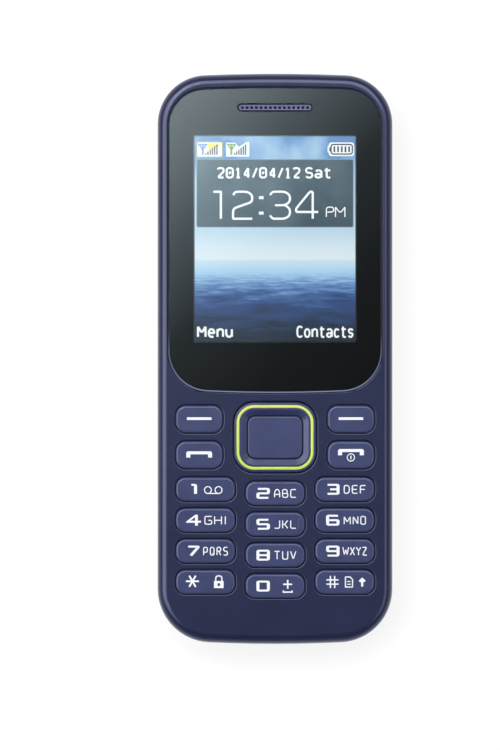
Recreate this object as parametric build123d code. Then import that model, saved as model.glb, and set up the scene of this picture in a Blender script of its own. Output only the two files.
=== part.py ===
"""A bar-shaped feature phone with a number keypad, built piece by piece in millimetres.

The phone lies on its back: +Z points out of the display, +Y runs towards the earpiece and +X is on
the right of someone who reads the screen. The origin is the centre of the flat back it rests on.
Everything stacks upwards from that plane: cover, battery, board, domes, rubber mat, keys, front wall.
"""

import os
from math import atan2, cos, sin, sqrt

from build123d import *

# Outline of the body, seen from the front
body_width = 46.4
body_length = 112.7
top_corner_radius = 9.7
bottom_corner_radius = 10.6
top_crown_radius = 340.0
bottom_crown_radius = 270.0

# Heights that stack up from the resting plane
cover_floor = 1.1
battery_clearance = 0.2
battery_thickness = 4.6
bay_floor = 0.7
socket_room = 1.2
board_thickness = 0.8
dome_height = 0.3
nub_gap = 0.03
nub_height = 0.15
mat_thickness = 0.37
pad_height = 0.3
key_travel = 0.3
key_rest_gap = 0.05
flange_thickness = 0.55
flange_clearance = 0.05
front_wall = 1.3
key_stand = 0.4

# Shell walls and their fits
front_side_wall = 1.3
front_edge_radius = 1.8
seam_height = 5.6
seam_gap = 0.12
cover_wall = 1.1
cover_edge_radius = 4.0
cover_clearance = 0.15
rear_wall = 1.1
rear_floor = 1.0
lip_clearance = 0.1
lip_height = 1.2
window_opening_edge_radius = 0.18
key_opening_edge_radius = 0.27
cut_overrun = 1.0
contact_gap = 0.02

# Display window, its ink and tape
window_side_margin = 2.15
window_top_margin = 2.75
keypad_room = 49.65
window_top_radius = 7.3
window_bottom_radius = 8.0
window_top_crown = 330.0
window_bottom_crown = 300.0
window_thickness = 0.9
window_gap = 0.15
window_seat = 0.45
window_chamfer = 0.2
ink_thickness = 0.05
tape_thickness = 0.1
tape_width = 1.5
view_margin = 0.25
view_corner_radius = 0.3
seat_margin = 1.0
seat_corner_radius = 1.0

# Display module
view_side_border = 5.175
view_top_border = 9.65
view_bottom_border = 10.15
panel_side_border = 1.3
panel_top_border = 1.2
panel_bottom_border = 4.9
panel_thickness = 1.1
light_guide_thickness = 0.45
light_guide_inset = 0.6
frame_wall = 0.6
frame_floor = 0.2
frame_lift = 0.1
frame_clearance = 0.1
gasket_thickness = 0.2
gasket_width = 0.8
flex_width = 14.0
flex_thickness = 0.12
flex_tuck = 1.5
flex_drop_reach = 1.6
flex_foot = 3.0

# Earpiece
earpiece_margin = 6.75
grille_length = 15.0
grille_width = 1.74
grille_clearance = 0.05
grille_hole_count = 15
grille_hole_width = 0.6
grille_hole_height = 0.52
grille_hole_pitch = 0.92
grille_trench = 0.27
grille_trench_depth = 0.7
grille_edge_radius = 0.1
mesh_thickness = 0.1
mesh_border = 0.5
sound_slot_length = 12.5
sound_slot_width = 0.9
receiver_side_room = 17.2
receiver_width = 6.0
receiver_corner_radius = 2.0
receiver_gap = 0.1
receiver_rim = 0.8
receiver_rim_height = 0.3

# Number keys
keypad_side_margin = 3.6
key_column_gap = 2.05
key_height = 4.7
key_corner_radius = 1.9
key_edge_radius = 0.42
key_gap = 0.12
flange_reach = 0.5
key_row_pitch = 6.1
first_row_drop = 19.05
centre_column_drop = 0.8
homing_ridge_length = 2.3
homing_ridge_width = 0.55
homing_ridge_height = 0.1
homing_ridge_margin = 1.02
homing_ridge_edge_radius = 0.08

# Function keys at both sides of the navigation key
side_key_share = 0.236
side_key_height = 5.35
side_key_corner_radius = 2.0
side_key_drop = 5.2
side_key_pitch = 7.06

# Navigation ring, its trim and pad, and the centre key
nav_drop = 8.8
nav_share = 0.4145
nav_height = 13.8
nav_corner_radius = 4.0
nav_rim_width = 0.5
nav_rim_edge_radius = 0.34
nav_lip_width = 0.4
nav_lip_edge_radius = 0.11
nav_trim_width = 0.6
nav_trim_depth = 0.6
nav_trim_edge_radius = 0.15
nav_gap = 0.16
nav_trim_drop = 0.06
nav_edge_drop = 0.08
nav_dish_depth = 0.42
nav_flange_drop = 0.45
nav_flange_thickness = 0.3
nav_pad_gap = 0.25
nav_pad_thickness = 0.25
nav_pad_width = 1.0
nav_nub_height = 0.28
centre_key_margin = 2.76
centre_key_corner_radius = 1.5
centre_key_gap = 0.25
centre_key_drop = 0.3
centre_key_edge_radius = 0.25
centre_flange_reach = 0.5
centre_flange_thickness = 0.35
centre_pad_gap = 0.35

# Rubber mat, domes and dome sheet
mat_side_margin = 0.35
mat_top_margin = 0.5
mat_bottom_margin = 0.2
mat_corner_radius = 3.0
mat_rim_width = 0.7
mat_nav_clearance = 0.4
nub_radius = 1.0
dome_radius = 2.0
dome_sheet_thickness = 0.1
dome_sheet_clearance = 0.15
nav_dome_radius = 1.6

# Main board and what is soldered to it
board_inset = 2.2
board_slot_clearance = 0.2
can_height = 1.5
can_wall_radius = 0.5
upper_can_left_room = 7.2
upper_can_right_x = 3.0
upper_can_length = 18.0
upper_can_rise = 6.5
lower_can_width = 16.0
lower_can_length = 9.0
lower_can_x = -1.5
lower_can_margin = 12.85
socket_height = 1.35
socket_wall = 0.2
socket_window_clearance = 0.3
socket_margin = 1.3
socket_gap = 2.2
sim_socket_length = 12.0
card_socket_width = 12.6
card_socket_length = 11.5
card_slot_height = 0.9

# Battery, its bay and its contacts
battery_side_room = 6.2
battery_top_room = 44.35
battery_bottom_room = 22.35
battery_edge_radius = 1.0
bay_wall = 0.9
connector_width = 9.0
connector_length = 2.8
connector_depth = 5.0
connector_gap = 0.05
contact_width = 0.9
contact_height = 0.5
contact_pitch = 2.6

# Headphone socket in the top end
jack_side_room = 13.0
jack_axis_height = 6.4
jack_bore_radius = 1.8
jack_bore_length = 13.0
jack_nose_radius = 2.3
jack_nose_gap = 0.1
jack_body_width = 5.6
jack_body_height = 4.7
jack_body_length = 11.4
jack_recess = 0.15

# Torch in the top end
torch_side_room = 13.0
torch_axis_height = 8.2
torch_lens_radius = 1.8
torch_lens_gap = 0.05
torch_lens_flange = 0.3
torch_lens_flange_thickness = 0.4
torch_lens_round = 0.35
torch_lens_recess = 0.05
led_radius = 1.45
led_length = 3.4
led_collar_radius = 1.6
led_collar_length = 0.6
led_gap = 0.25

# Charging socket and microphone in the bottom end
usb_width = 7.4
usb_height = 2.5
usb_length = 5.3
usb_corner_radius = 0.8
usb_wall = 0.3
usb_end_wall = 0.5
usb_tongue_width = 3.7
usb_tongue_height = 0.65
usb_axis_height = 8.4
usb_gap = 0.2
usb_recess = 0.25
mic_radius = 2.0
mic_height = 1.3
mic_wall_distance = 3.2
boot_width = 5.4
boot_roof = 0.35
boot_fit = 0.02
boot_board_gap = 0.05
mic_port_radius = 0.45

# Loudspeaker behind the back grille
speaker_length = 15.0
speaker_width = 11.0
speaker_jack_gap = 0.4
speaker_height = 3.0
speaker_corner_radius = 3.5
speaker_cone_radius = 3.6
speaker_cone_depth = 0.5
speaker_mesh_length = 12.0
speaker_mesh_width = 8.0
speaker_mesh_border = 1.0
speaker_mesh_corner = 1.8
grille_slot_count = 6
grille_slot_length = 6.0
grille_slot_width = 0.9
grille_slot_pitch = 1.8

# Vibration motor
motor_side_room = 9.7
motor_rise = 8.5
motor_radius = 2.2
motor_length = 8.0
motor_lift = 0.4
motor_fit = 0.03
cradle_wall = 0.7
cradle_margin = 1.0
shaft_radius = 0.35
shaft_clearance = 0.05
shaft_seat = 2.0
weight_radius = 2.0
weight_hub_radius = 0.9
weight_length = 3.0
weight_gap = 0.5

# Antenna plate
antenna_side_room = 11.2
antenna_length = 14.0
antenna_thickness = 0.2
antenna_track = 3.0
antenna_margin = 11.35

# Screws and their bosses
screw_radius = 0.7
screw_length = 5.0
screw_head_radius = 1.2
screw_head_height = 0.8
screw_drive_width = 0.35
screw_drive_depth = 0.4
screw_fit = 0.02
screw_clearance = 0.15
head_clearance = 0.1
boss_radius = 1.5
boss_gap = 0.05
column_radius = 1.8
column_floor = 1.5
top_screw_side_room = 6.0
top_screw_margin = 7.75
middle_screw_side_room = 3.75
middle_screw_rise = 5.0
bottom_screw_side_room = 7.7
bottom_screw_margin = 5.65

# Cover ribs that locate it on the rear housing, and the fingernail notch
rib_length = 6.0
rib_depth = 0.35
rib_height = 0.9
rib_gap = 0.1
rib_below_seam = 2.2
rib_place_shares = (0.266, -0.089, -0.301)
notch_width = 9.0
notch_height = 0.9
notch_depth = 0.6

# Heights worked out from the stack
battery_back_z = cover_floor + battery_clearance
battery_front_z = battery_back_z + battery_thickness
bay_ceiling_z = battery_front_z + battery_clearance
bay_front_z = bay_ceiling_z + bay_floor
board_back_z = bay_front_z + socket_room
board_front_z = board_back_z + board_thickness
dome_top_z = board_front_z + dome_height
nub_z = dome_top_z + nub_gap
mat_back_z = nub_z + nub_height
mat_front_z = mat_back_z + mat_thickness
pad_z = mat_front_z + pad_height
flange_z = pad_z + key_rest_gap + key_travel
flange_top_z = flange_z + flange_thickness
front_inner_z = flange_top_z + flange_clearance
front_face_z = front_inner_z + front_wall
key_top_z = front_face_z + key_stand
window_seat_z = front_inner_z + window_seat
ink_z = window_seat_z + tape_thickness
window_back_z = ink_z + ink_thickness
window_face_z = window_back_z + window_thickness
rear_back_z = cover_floor + cover_clearance
rear_floor_z = rear_back_z + rear_floor
lip_top_z = seam_height + lip_height
panel_front_z = front_inner_z - gasket_thickness
panel_back_z = panel_front_z - panel_thickness

# Places across the body, worked out from its width
half_width = body_width / 2
window_width = body_width - 2 * window_side_margin
view_width = window_width - 2 * view_side_border
panel_width = view_width + 2 * panel_side_border
receiver_length = body_width - 2 * receiver_side_room
keypad_width = body_width - 2 * keypad_side_margin
key_width = (keypad_width - 2 * key_column_gap) / 3
key_column_pitch = key_width + key_column_gap
side_key_width = keypad_width * side_key_share
side_key_x = (keypad_width - side_key_width) / 2
nav_width = keypad_width * nav_share
centre_key_width = nav_width - 2 * centre_key_margin
battery_width = body_width - 2 * battery_side_room
bay_width = battery_width + 2 * battery_clearance
sim_socket_width = (battery_width - 2 * socket_margin - socket_gap) / 2
sim_socket_x = (sim_socket_width + socket_gap) / 2
antenna_width = body_width - 2 * antenna_side_room
jack_x = jack_side_room - half_width
torch_x = half_width - torch_side_room
motor_x = half_width - motor_side_room
bottom_screw_x = half_width - bottom_screw_side_room
mic_x = -(usb_width / 2 + bottom_screw_x - boss_radius) / 2

# Places along the body, worked out from its length
top_y = body_length / 2
bottom_y = -body_length / 2
window_top_y = top_y - window_top_margin
window_bottom_y = bottom_y + keypad_room
view_top_y = window_top_y - view_top_border
view_bottom_y = window_bottom_y + view_bottom_border
view_length = view_top_y - view_bottom_y
view_centre_y = (view_top_y + view_bottom_y) / 2
panel_length = view_length + panel_top_border + panel_bottom_border
panel_centre_y = view_centre_y + (panel_top_border - panel_bottom_border) / 2
panel_bottom_y = panel_centre_y - panel_length / 2
earpiece_y = top_y - earpiece_margin
side_key_y = window_bottom_y - side_key_drop
nav_y = window_bottom_y - nav_drop
first_row_y = window_bottom_y - first_row_drop
centre_key_height = nav_height - 2 * centre_key_margin
nav_pad_reach = centre_flange_reach + centre_pad_gap + nav_pad_width / 2
nav_dome_x = centre_key_width / 2 + nav_pad_reach
nav_dome_y = centre_key_height / 2 + nav_pad_reach
battery_top_y = top_y - battery_top_room
battery_length = body_length - battery_top_room - battery_bottom_room
battery_centre_y = battery_top_y - battery_length / 2
bay_length = battery_length + 2 * battery_clearance
sim_socket_y = battery_top_y - socket_margin - sim_socket_length / 2
card_socket_y = sim_socket_y - (sim_socket_length + card_socket_length) / 2 - socket_margin
motor_start_y = battery_top_y + motor_rise
antenna_y = bottom_y + antenna_margin

# Insets and heights of what sits on the rear housing's floor
rear_inset = cover_wall + cover_clearance
lip_inset = front_side_wall + lip_clearance
rear_inner_inset = lip_inset + rear_wall
speaker_z = rear_floor_z + mesh_thickness
motor_z = rear_floor_z + motor_lift + motor_radius


def slab(sketch, low, high):
    """A flat shape pulled up between two heights."""
    return extrude(Pos(0, 0, low) * sketch, amount=high - low)


def block(size_x, size_y, low, high, x=0, y=0):
    """A plain block standing between two heights."""
    return slab(Pos(x, y) * Rectangle(size_x, size_y), low, high)


def upright(radius, low, high, x, y):
    """A round post or hole along Z."""
    return slab(Pos(x, y) * Circle(radius), low, high)


def lengthwise(radius, start_y, end_y, x, z):
    """A round bar or hole along Y."""
    middle = (start_y + end_y) / 2
    return Pos(x, middle, z) * Rot(90, 0, 0) * Cylinder(radius, abs(end_y - start_y))


def crowned_shape(half_width, high_y, low_y, radii, crowns):
    """A rounded panel with bulging ends, made of lines and arcs that are all tangent."""

    def corner(end_y, way, radius, crown):
        crown_y = end_y - way * crown
        centre_x = half_width - radius
        centre_y = crown_y + way * sqrt((crown - radius) ** 2 - centre_x**2)
        reach = crown / (crown - radius)
        meet = (centre_x * reach, crown_y + (centre_y - crown_y) * reach)
        angle = atan2(meet[1] - centre_y, meet[0] - centre_x) / 2
        middle = (centre_x + radius * cos(angle), centre_y + radius * sin(angle))
        return (half_width, centre_y), middle, meet

    def mirrored(point):
        return (-point[0], point[1])

    side_top, middle_top, meet_top = corner(high_y, 1, radii[0], crowns[0])
    side_low, middle_low, meet_low = corner(low_y, -1, radii[1], crowns[1])
    edges = [
        Line(side_low, side_top),
        ThreePointArc(side_top, middle_top, meet_top),
        ThreePointArc(meet_top, (0, high_y), mirrored(meet_top)),
        ThreePointArc(mirrored(meet_top), mirrored(middle_top), mirrored(side_top)),
        Line(mirrored(side_top), mirrored(side_low)),
        ThreePointArc(mirrored(side_low), mirrored(middle_low), mirrored(meet_low)),
        ThreePointArc(mirrored(meet_low), (0, low_y), meet_low),
        ThreePointArc(meet_low, middle_low, side_low),
    ]
    return make_face(edges)


def body_outline(inset=0):
    """The body's outline, moved inwards by an even amount."""
    return crowned_shape(
        half_width - inset,
        top_y - inset,
        bottom_y + inset,
        (top_corner_radius - inset, bottom_corner_radius - inset),
        (top_crown_radius - inset, bottom_crown_radius - inset),
    )


def window_outline(inset=0):
    """The display window's outline, moved inwards by an even amount."""
    return crowned_shape(
        window_width / 2 - inset,
        window_top_y - inset,
        window_bottom_y + inset,
        (window_top_radius - inset, window_bottom_radius - inset),
        (window_top_crown - inset, window_bottom_crown - inset),
    )


def rounded(width, height, radius, growth=0, x=0, y=0):
    """A rounded rectangle, grown evenly on every side."""
    return Pos(x, y) * RectangleRounded(width + 2 * growth, height + 2 * growth, radius + growth)


def number_keys():
    """Name and centre of each number key. The middle column sits a little lower."""
    rows = (("1", "2", "3"), ("4", "5", "6"), ("7", "8", "9"), ("star", "0", "hash"))
    for row, labels in enumerate(rows):
        for column, label in zip((-1, 0, 1), labels):
            drop = centre_column_drop if column == 0 else 0
            yield "key_" + label, column * key_column_pitch, first_row_y - row * key_row_pitch - drop


def side_keys():
    """Name and centre of the four function keys."""
    yield "key_soft_left", -side_key_x, side_key_y
    yield "key_soft_right", side_key_x, side_key_y
    yield "key_call", -side_key_x, side_key_y - side_key_pitch
    yield "key_end", side_key_x, side_key_y - side_key_pitch


def all_key_outlines(growth=0):
    """Name, centre and outline of every key but the centre one."""
    for name, x, y in number_keys():
        yield name, x, y, rounded(key_width, key_height, key_corner_radius, growth, x, y)
    for name, x, y in side_keys():
        outline = rounded(side_key_width, side_key_height, side_key_corner_radius, growth, x, y)
        yield name, x, y, outline


def nav_outline(growth=0):
    """The navigation ring's outline."""
    return rounded(nav_width, nav_height, nav_corner_radius, growth, 0, nav_y)


def trim_outline(growth=0):
    """Outline of the coloured trim, inside the ring's rim."""
    return nav_outline(growth - nav_rim_width)


def centre_outline(growth=0):
    """The centre key's outline."""
    return rounded(centre_key_width, centre_key_height, centre_key_corner_radius, growth, 0, nav_y)


def screw_points():
    """Centre of each housing screw, left and right."""
    places = (
        (half_width - top_screw_side_room, top_y - top_screw_margin),
        (half_width - middle_screw_side_room, battery_top_y + middle_screw_rise),
        (bottom_screw_x, bottom_y + bottom_screw_margin),
    )
    for x, y in places:
        yield -x, y
        yield x, y


def top_edges(shape):
    """The edges around the highest flat face."""
    return shape.faces().filter_by(Axis.Z).sort_by(Axis.Z)[-1].edges()


def bottom_edges(shape):
    """The edges around the lowest flat face."""
    return shape.faces().filter_by(Axis.Z).sort_by(Axis.Z)[0].edges()


def end_holes(extra, inset):
    """Holes through the end walls, down to an inset, for the sockets, the torch and the microphone."""
    usb = rounded(usb_width, usb_height, usb_corner_radius, usb_gap + extra)
    usb_slot = extrude(usb, amount=inset + cut_overrun, both=True)
    low = top_y - inset - cut_overrun
    high = top_y + cut_overrun
    return [
        lengthwise(jack_nose_radius + jack_nose_gap + extra, low, high, jack_x, jack_axis_height),
        lengthwise(torch_lens_radius + torch_lens_gap + extra, low, high, torch_x, torch_axis_height),
        lengthwise(mic_port_radius + extra, -low, -high, mic_x, mic_port_height()),
        Pos(0, bottom_y, usb_axis_height) * Rot(90, 0, 0) * usb_slot,
    ]


def mic_port_height():
    """Height of the microphone's sound channel, at the capsule's middle."""
    return board_front_z + boot_board_gap + mic_height / 2


def openings(shell):
    """Outlines of the openings in the housing's front face, the window's last."""
    face = shell.faces().filter_by(Axis.Z).sort_by(Axis.Z)[-1]
    return sorted(face.inner_wires(), key=lambda wire: wire.length)


def make_front_housing():
    """Front shell: rounded front edge, window recess, key openings, bosses and end openings."""
    shell = slab(body_outline(), seam_height, front_face_z)
    shell = fillet(top_edges(shell), front_edge_radius)
    shell -= slab(body_outline(front_side_wall), seam_height - cut_overrun, front_inner_z)
    high = front_face_z + cut_overrun
    low = front_inner_z - cut_overrun
    cuts = [slab(outline, low, high) for _, _, _, outline in all_key_outlines(key_gap)]
    cuts.append(slab(nav_outline(nav_gap), low, high))
    cuts.append(slab(window_outline(-window_gap), window_seat_z, high))
    shell -= cuts
    shell = fillet(openings(shell)[-1].edges(), window_opening_edge_radius)
    key_edges = [edge for wire in openings(shell)[:-1] for edge in wire.edges()]
    shell = fillet(key_edges, key_opening_edge_radius)
    seat = rounded(view_width, view_length, seat_corner_radius, seat_margin, 0, view_centre_y)
    slot = Pos(0, earpiece_y) * SlotOverall(sound_slot_length, sound_slot_width)
    shell -= [slab(seat, low, high), slab(slot, low, high)]
    boss_low = board_back_z + boss_gap
    pilot_radius = screw_radius + screw_fit
    for x, y in screw_points():
        shell += upright(boss_radius, boss_low, front_inner_z, x, y)
    pilots = [upright(pilot_radius, boss_low - cut_overrun, front_inner_z, x, y) for x, y in screw_points()]
    return shell - pilots - end_holes(0, front_side_wall)


def make_display_window():
    """Clear moulded window with a chamfered rim and a slot for the earpiece grille."""
    lens = slab(window_outline(), window_back_z, window_face_z)
    lens = chamfer(top_edges(lens), window_chamfer)
    slot = Pos(0, earpiece_y) * SlotOverall(grille_length, grille_width)
    return lens - slab(slot, window_back_z - cut_overrun, window_face_z + cut_overrun)


def make_window_ink():
    """Black ink on the window's back, clear over the display."""
    ink = slab(window_outline(), ink_z, window_back_z)
    view = rounded(view_width, view_length, view_corner_radius, view_margin, 0, view_centre_y)
    slot = Pos(0, earpiece_y) * SlotOverall(grille_length, grille_width)
    return ink - [slab(shape, ink_z - cut_overrun, window_face_z) for shape in (view, slot)]


def make_window_tape():
    """Adhesive tape frame that holds the window in its seat."""
    tape = slab(window_outline(), window_seat_z, ink_z)
    inside = slab(window_outline(tape_width), window_seat_z - cut_overrun, window_face_z)
    return tape - inside


def grille_outline(inset):
    """The earpiece opening's outline, drawn in by an inset."""
    return Pos(0, earpiece_y) * SlotOverall(grille_length - 2 * inset, grille_width - 2 * inset)


def make_earpiece_grille():
    """Raised bar with a row of small square holes, on a flange seated on the housing."""
    low = window_seat_z + mesh_thickness
    bar = slab(grille_outline(grille_trench), low, window_face_z)
    bar = fillet(top_edges(bar), grille_edge_radius)
    grille = bar + slab(grille_outline(grille_clearance), low, window_face_z - grille_trench_depth)
    first_x = -(grille_hole_count - 1) * grille_hole_pitch / 2
    holes = [
        block(
            grille_hole_width,
            grille_hole_height,
            low - cut_overrun,
            window_face_z + cut_overrun,
            first_x + n * grille_hole_pitch,
            earpiece_y,
        )
        for n in range(grille_hole_count)
    ]
    return grille - holes


def make_earpiece_mesh():
    """Dust cloth between the grille and the housing."""
    outline = Pos(0, earpiece_y) * SlotOverall(
        grille_length - 2 * grille_clearance, grille_width - 2 * grille_clearance
    )
    return slab(outline, window_seat_z, window_seat_z + mesh_thickness)


def make_rear_housing():
    """Rear chassis: tray with the battery bay, screw columns, motor cradle and sound opening."""
    outer_radius = cover_edge_radius - rear_inset
    tray = slab(body_outline(rear_inset), rear_back_z, seam_height - seam_gap)
    tray = fillet(bottom_edges(tray), outer_radius)
    tray += slab(body_outline(lip_inset), seam_height - seam_gap, lip_top_z)
    room = slab(body_outline(rear_inner_inset), rear_floor_z, lip_top_z + cut_overrun)
    tray -= fillet(bottom_edges(room), outer_radius - rear_floor)
    bay_outside = (bay_width + 2 * bay_wall, bay_length + 2 * bay_wall)
    tray += block(*bay_outside, rear_back_z, bay_front_z, 0, battery_centre_y)
    cradle_width = 2 * (motor_radius + cradle_wall)
    cradle_length = motor_length - 2 * cradle_margin
    cradle_y = motor_start_y + motor_length / 2
    tray += block(cradle_width, cradle_length, rear_floor_z, motor_z, motor_x, cradle_y)
    for x, y in screw_points():
        tray += upright(column_radius, rear_floor_z, board_back_z, x, y)
    low = rear_back_z - cut_overrun
    high = bay_front_z + cut_overrun
    sound_opening = speaker_mesh_outline(-speaker_mesh_border)
    cuts = [
        block(bay_width, bay_length, low, bay_ceiling_z, 0, battery_centre_y),
        lengthwise(motor_radius + motor_fit, motor_start_y, motor_start_y + motor_length, motor_x, motor_z),
        slab(sound_opening, low, rear_floor_z + cut_overrun),
    ]
    for x, y, width, length in sockets():
        window = (width + 2 * socket_window_clearance, length + 2 * socket_window_clearance)
        cuts.append(block(*window, bay_ceiling_z - cut_overrun, high, x, y))
    contact_slot = Box(
        contact_width + 2 * contact_gap,
        2 * (bay_wall + battery_clearance) + contact_gap,
        contact_height + 2 * contact_gap,
    )
    cuts += [Pos(x, battery_top_y, battery_middle_z()) * contact_slot for x in contact_places()]
    head_seat = rear_floor_z + column_floor
    for x, y in screw_points():
        cuts.append(upright(screw_head_radius + head_clearance, low, head_seat, x, y))
        cuts.append(upright(screw_radius + screw_clearance, low, board_back_z + cut_overrun, x, y))
    rib_pocket = (2 * (rib_depth + rib_gap), rib_length + 2 * rib_gap)
    for side in (-1, 1):
        wall_x = side * (half_width - rear_inset)
        cuts += [block(*rib_pocket, low, rib_top_z() + rib_gap, wall_x, y) for y in rib_places()]
    return tray - cuts - end_holes(torch_lens_flange + lip_clearance, rear_inner_inset)


def rib_places():
    """Centre of each locating rib along the cover."""
    return [body_length * share for share in rib_place_shares]


def rib_top_z():
    """Top of the cover's locating ribs."""
    return seam_height - rib_below_seam + rib_height


def battery_middle_z():
    """Mid-height of the battery, where its contacts touch."""
    return battery_back_z + battery_thickness / 2


def contact_places():
    """The three battery contacts across the phone."""
    return [n * contact_pitch for n in (-1, 0, 1)]


def sockets():
    """Centre and size of the two SIM sockets and the memory card socket."""
    return (
        (-sim_socket_x, sim_socket_y, sim_socket_width, sim_socket_length),
        (sim_socket_x, sim_socket_y, sim_socket_width, sim_socket_length),
        (0, card_socket_y, card_socket_width, card_socket_length),
    )


def make_back_cover():
    """Removable back cover: a dished shell with grille slots, locating ribs and a nail notch."""
    rim = seam_height - seam_gap
    shell = slab(body_outline(), 0, rim)
    shell = fillet(bottom_edges(shell), cover_edge_radius)
    room = slab(body_outline(cover_wall), cover_floor, rim + cut_overrun)
    shell -= fillet(bottom_edges(room), cover_edge_radius - cover_wall)
    rib_reach = rib_depth + cover_clearance
    for side in (-1, 1):
        rib_x = side * (half_width - cover_wall - rib_reach / 2)
        for y in rib_places():
            shell += block(rib_reach, rib_length, rib_top_z() - rib_height, rib_top_z(), rib_x, y)
    first_x = -(grille_slot_count - 1) * grille_slot_pitch / 2
    upright_slot = Rot(0, 0, 90) * SlotOverall(grille_slot_length, grille_slot_width)
    slot = slab(upright_slot, -cut_overrun, cover_floor + cut_overrun)
    slots = [Pos(first_x + n * grille_slot_pitch, speaker_y()) * slot for n in range(grille_slot_count)]
    notch = block(notch_width, 2 * notch_depth, rim - notch_height, rim + cut_overrun, 0, bottom_y)
    return shell - slots - notch - end_holes(0, cover_wall)


def make_key(size, x, y):
    """Key: cap with a rounded rim on a wider flange that keeps it under the housing."""
    cap = slab(rounded(*size, 0, x, y), flange_z, key_top_z)
    cap = fillet(top_edges(cap), key_edge_radius)
    return cap + slab(rounded(*size, flange_reach, x, y), flange_z, flange_top_z)


def make_number_key(name, x, y):
    """Number key. The middle one carries two ridges to find it by touch."""
    key = make_key((key_width, key_height, key_corner_radius), x, y)
    if name == "key_5":
        ridge = Rot(0, 0, 90) * SlotOverall(homing_ridge_length, homing_ridge_width)
        for side in (-1, 1):
            ridge_x = x + side * (key_width / 2 - homing_ridge_margin)
            mark = slab(Pos(ridge_x, y) * ridge, flange_z, key_top_z + homing_ridge_height)
            key += fillet(top_edges(mark), homing_ridge_edge_radius)
    return key


def nav_flange_top():
    """Top of the navigation ring's flange, with room for the ring to rock."""
    return front_inner_z - nav_flange_drop


def make_nav_ring():
    """Four-way ring: rounded rim, groove for the trim, lip, dished top and a flange below the housing."""
    low = nav_flange_top() - nav_flange_thickness
    high = key_top_z - nav_edge_drop
    mouth = slab(centre_outline(centre_key_gap), low - cut_overrun, high + cut_overrun)
    brim = Pos(0, 0, high) * trim_outline(-nav_trim_width - nav_lip_width)
    throat = Pos(0, 0, high - nav_dish_depth) * centre_outline(centre_key_gap)
    groove = slab(trim_outline(), high - nav_trim_depth, high + cut_overrun)
    groove -= slab(trim_outline(-nav_trim_width), high - nav_trim_depth - cut_overrun, high + cut_overrun)
    ring = slab(nav_outline(), low, high) - [mouth, loft([throat, brim]), groove]
    lip, rim = ring.faces().filter_by(Axis.Z).group_by(Axis.Z)[-1].sort_by(lambda face: face.outer_wire().length)
    inner_edges = [edge for wire in rim.inner_wires() for edge in wire.edges()]
    ring = fillet([*inner_edges, *lip.edges()], nav_lip_edge_radius)
    rim = ring.faces().filter_by(Axis.Z).group_by(Axis.Z)[-1].sort_by(lambda face: face.outer_wire().length)[-1]
    ring = fillet(rim.outer_wire().edges(), nav_rim_edge_radius)
    flange = slab(nav_outline(flange_reach + nav_gap), low, nav_flange_top())
    return ring + (flange - mouth)


def make_nav_trim():
    """Coloured trim ring set in the navigation ring's groove."""
    low = key_top_z - nav_edge_drop - nav_trim_depth
    high = key_top_z - nav_edge_drop - nav_trim_drop
    ring = slab(trim_outline(), low, high)
    ring -= slab(trim_outline(-nav_trim_width), low - cut_overrun, high + cut_overrun)
    return fillet(top_edges(ring), nav_trim_edge_radius)


def make_nav_pad():
    """Rubber rocker pad under the ring, with a nub over each of the four domes."""
    high = nav_flange_top() - nav_flange_thickness - nav_pad_gap
    low = high - nav_pad_thickness
    inner = centre_outline(centre_flange_reach + centre_pad_gap)
    outer = centre_outline(centre_flange_reach + centre_pad_gap + nav_pad_width)
    pad = slab(outer, low, high) - slab(inner, low - cut_overrun, high + cut_overrun)
    for x, y in nav_dome_places():
        pad += upright(nav_pad_width / 2, low - nav_nub_height, high, x, y)
    return pad


def nav_dome_places():
    """The four domes under the navigation ring."""
    return ((-nav_dome_x, nav_y), (nav_dome_x, nav_y), (0, nav_y - nav_dome_y), (0, nav_y + nav_dome_y))


def make_centre_key():
    """Select key in the middle of the ring, held in by its flange."""
    low = dome_top_z + key_rest_gap + key_travel
    high = key_top_z - centre_key_drop
    key = slab(centre_outline(), low, high)
    key = fillet(top_edges(key), centre_key_edge_radius)
    return key + slab(centre_outline(centre_flange_reach), low, low + centre_flange_thickness)


def mat_edges():
    """Left, right, low and high edges of the rubber mat."""
    half = key_column_pitch + key_width / 2 + mat_side_margin
    high = side_key_y + side_key_height / 2 + mat_top_margin
    low = first_row_y - 3 * key_row_pitch - centre_column_drop - key_height / 2 - mat_bottom_margin
    return -half, half, low, high


def mat_outline(inset=0):
    """The rubber mat's outline."""
    left, right, low, high = mat_edges()
    return rounded(right - left, high - low, mat_corner_radius, -inset, 0, (low + high) / 2)


def make_keypad_mat():
    """Silicone mat: a pad under each key, a nub over each dome and a rim on the dome sheet."""
    mat = slab(mat_outline(), mat_back_z, mat_front_z)
    rim = slab(mat_outline(), board_front_z + dome_sheet_thickness, mat_front_z)
    mat += rim - slab(mat_outline(mat_rim_width), board_front_z, key_top_z)
    for _, x, y, outline in all_key_outlines():
        mat += slab(outline, mat_back_z, pad_z)
        mat += upright(nub_radius, nub_z, pad_z, x, y)
    return mat - slab(nav_outline(flange_reach + nav_gap + mat_nav_clearance), board_front_z, key_top_z)


def dome_places():
    """Centre and radius of each key dome."""
    places = [(x, y, dome_radius) for _, x, y, _ in all_key_outlines()]
    places.append((0, nav_y, dome_radius))
    places += [(x, y, nav_dome_radius) for x, y in nav_dome_places()]
    return places


def make_dome(radius):
    """A shallow metal dome on the board."""
    sphere = (radius**2 + dome_height**2) / (2 * dome_height)
    ball = Pos(0, 0, dome_top_z - sphere) * Sphere(sphere)
    room = 2 * radius + cut_overrun
    return ball & block(room, room, board_front_z, dome_top_z + cut_overrun)


def make_key_domes():
    """All the metal snap domes, as separate solids."""
    shapes = {radius: make_dome(radius) for radius in (dome_radius, nav_dome_radius)}
    return Compound(children=[Pos(x, y) * shapes[radius] for x, y, radius in dome_places()])


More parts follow.
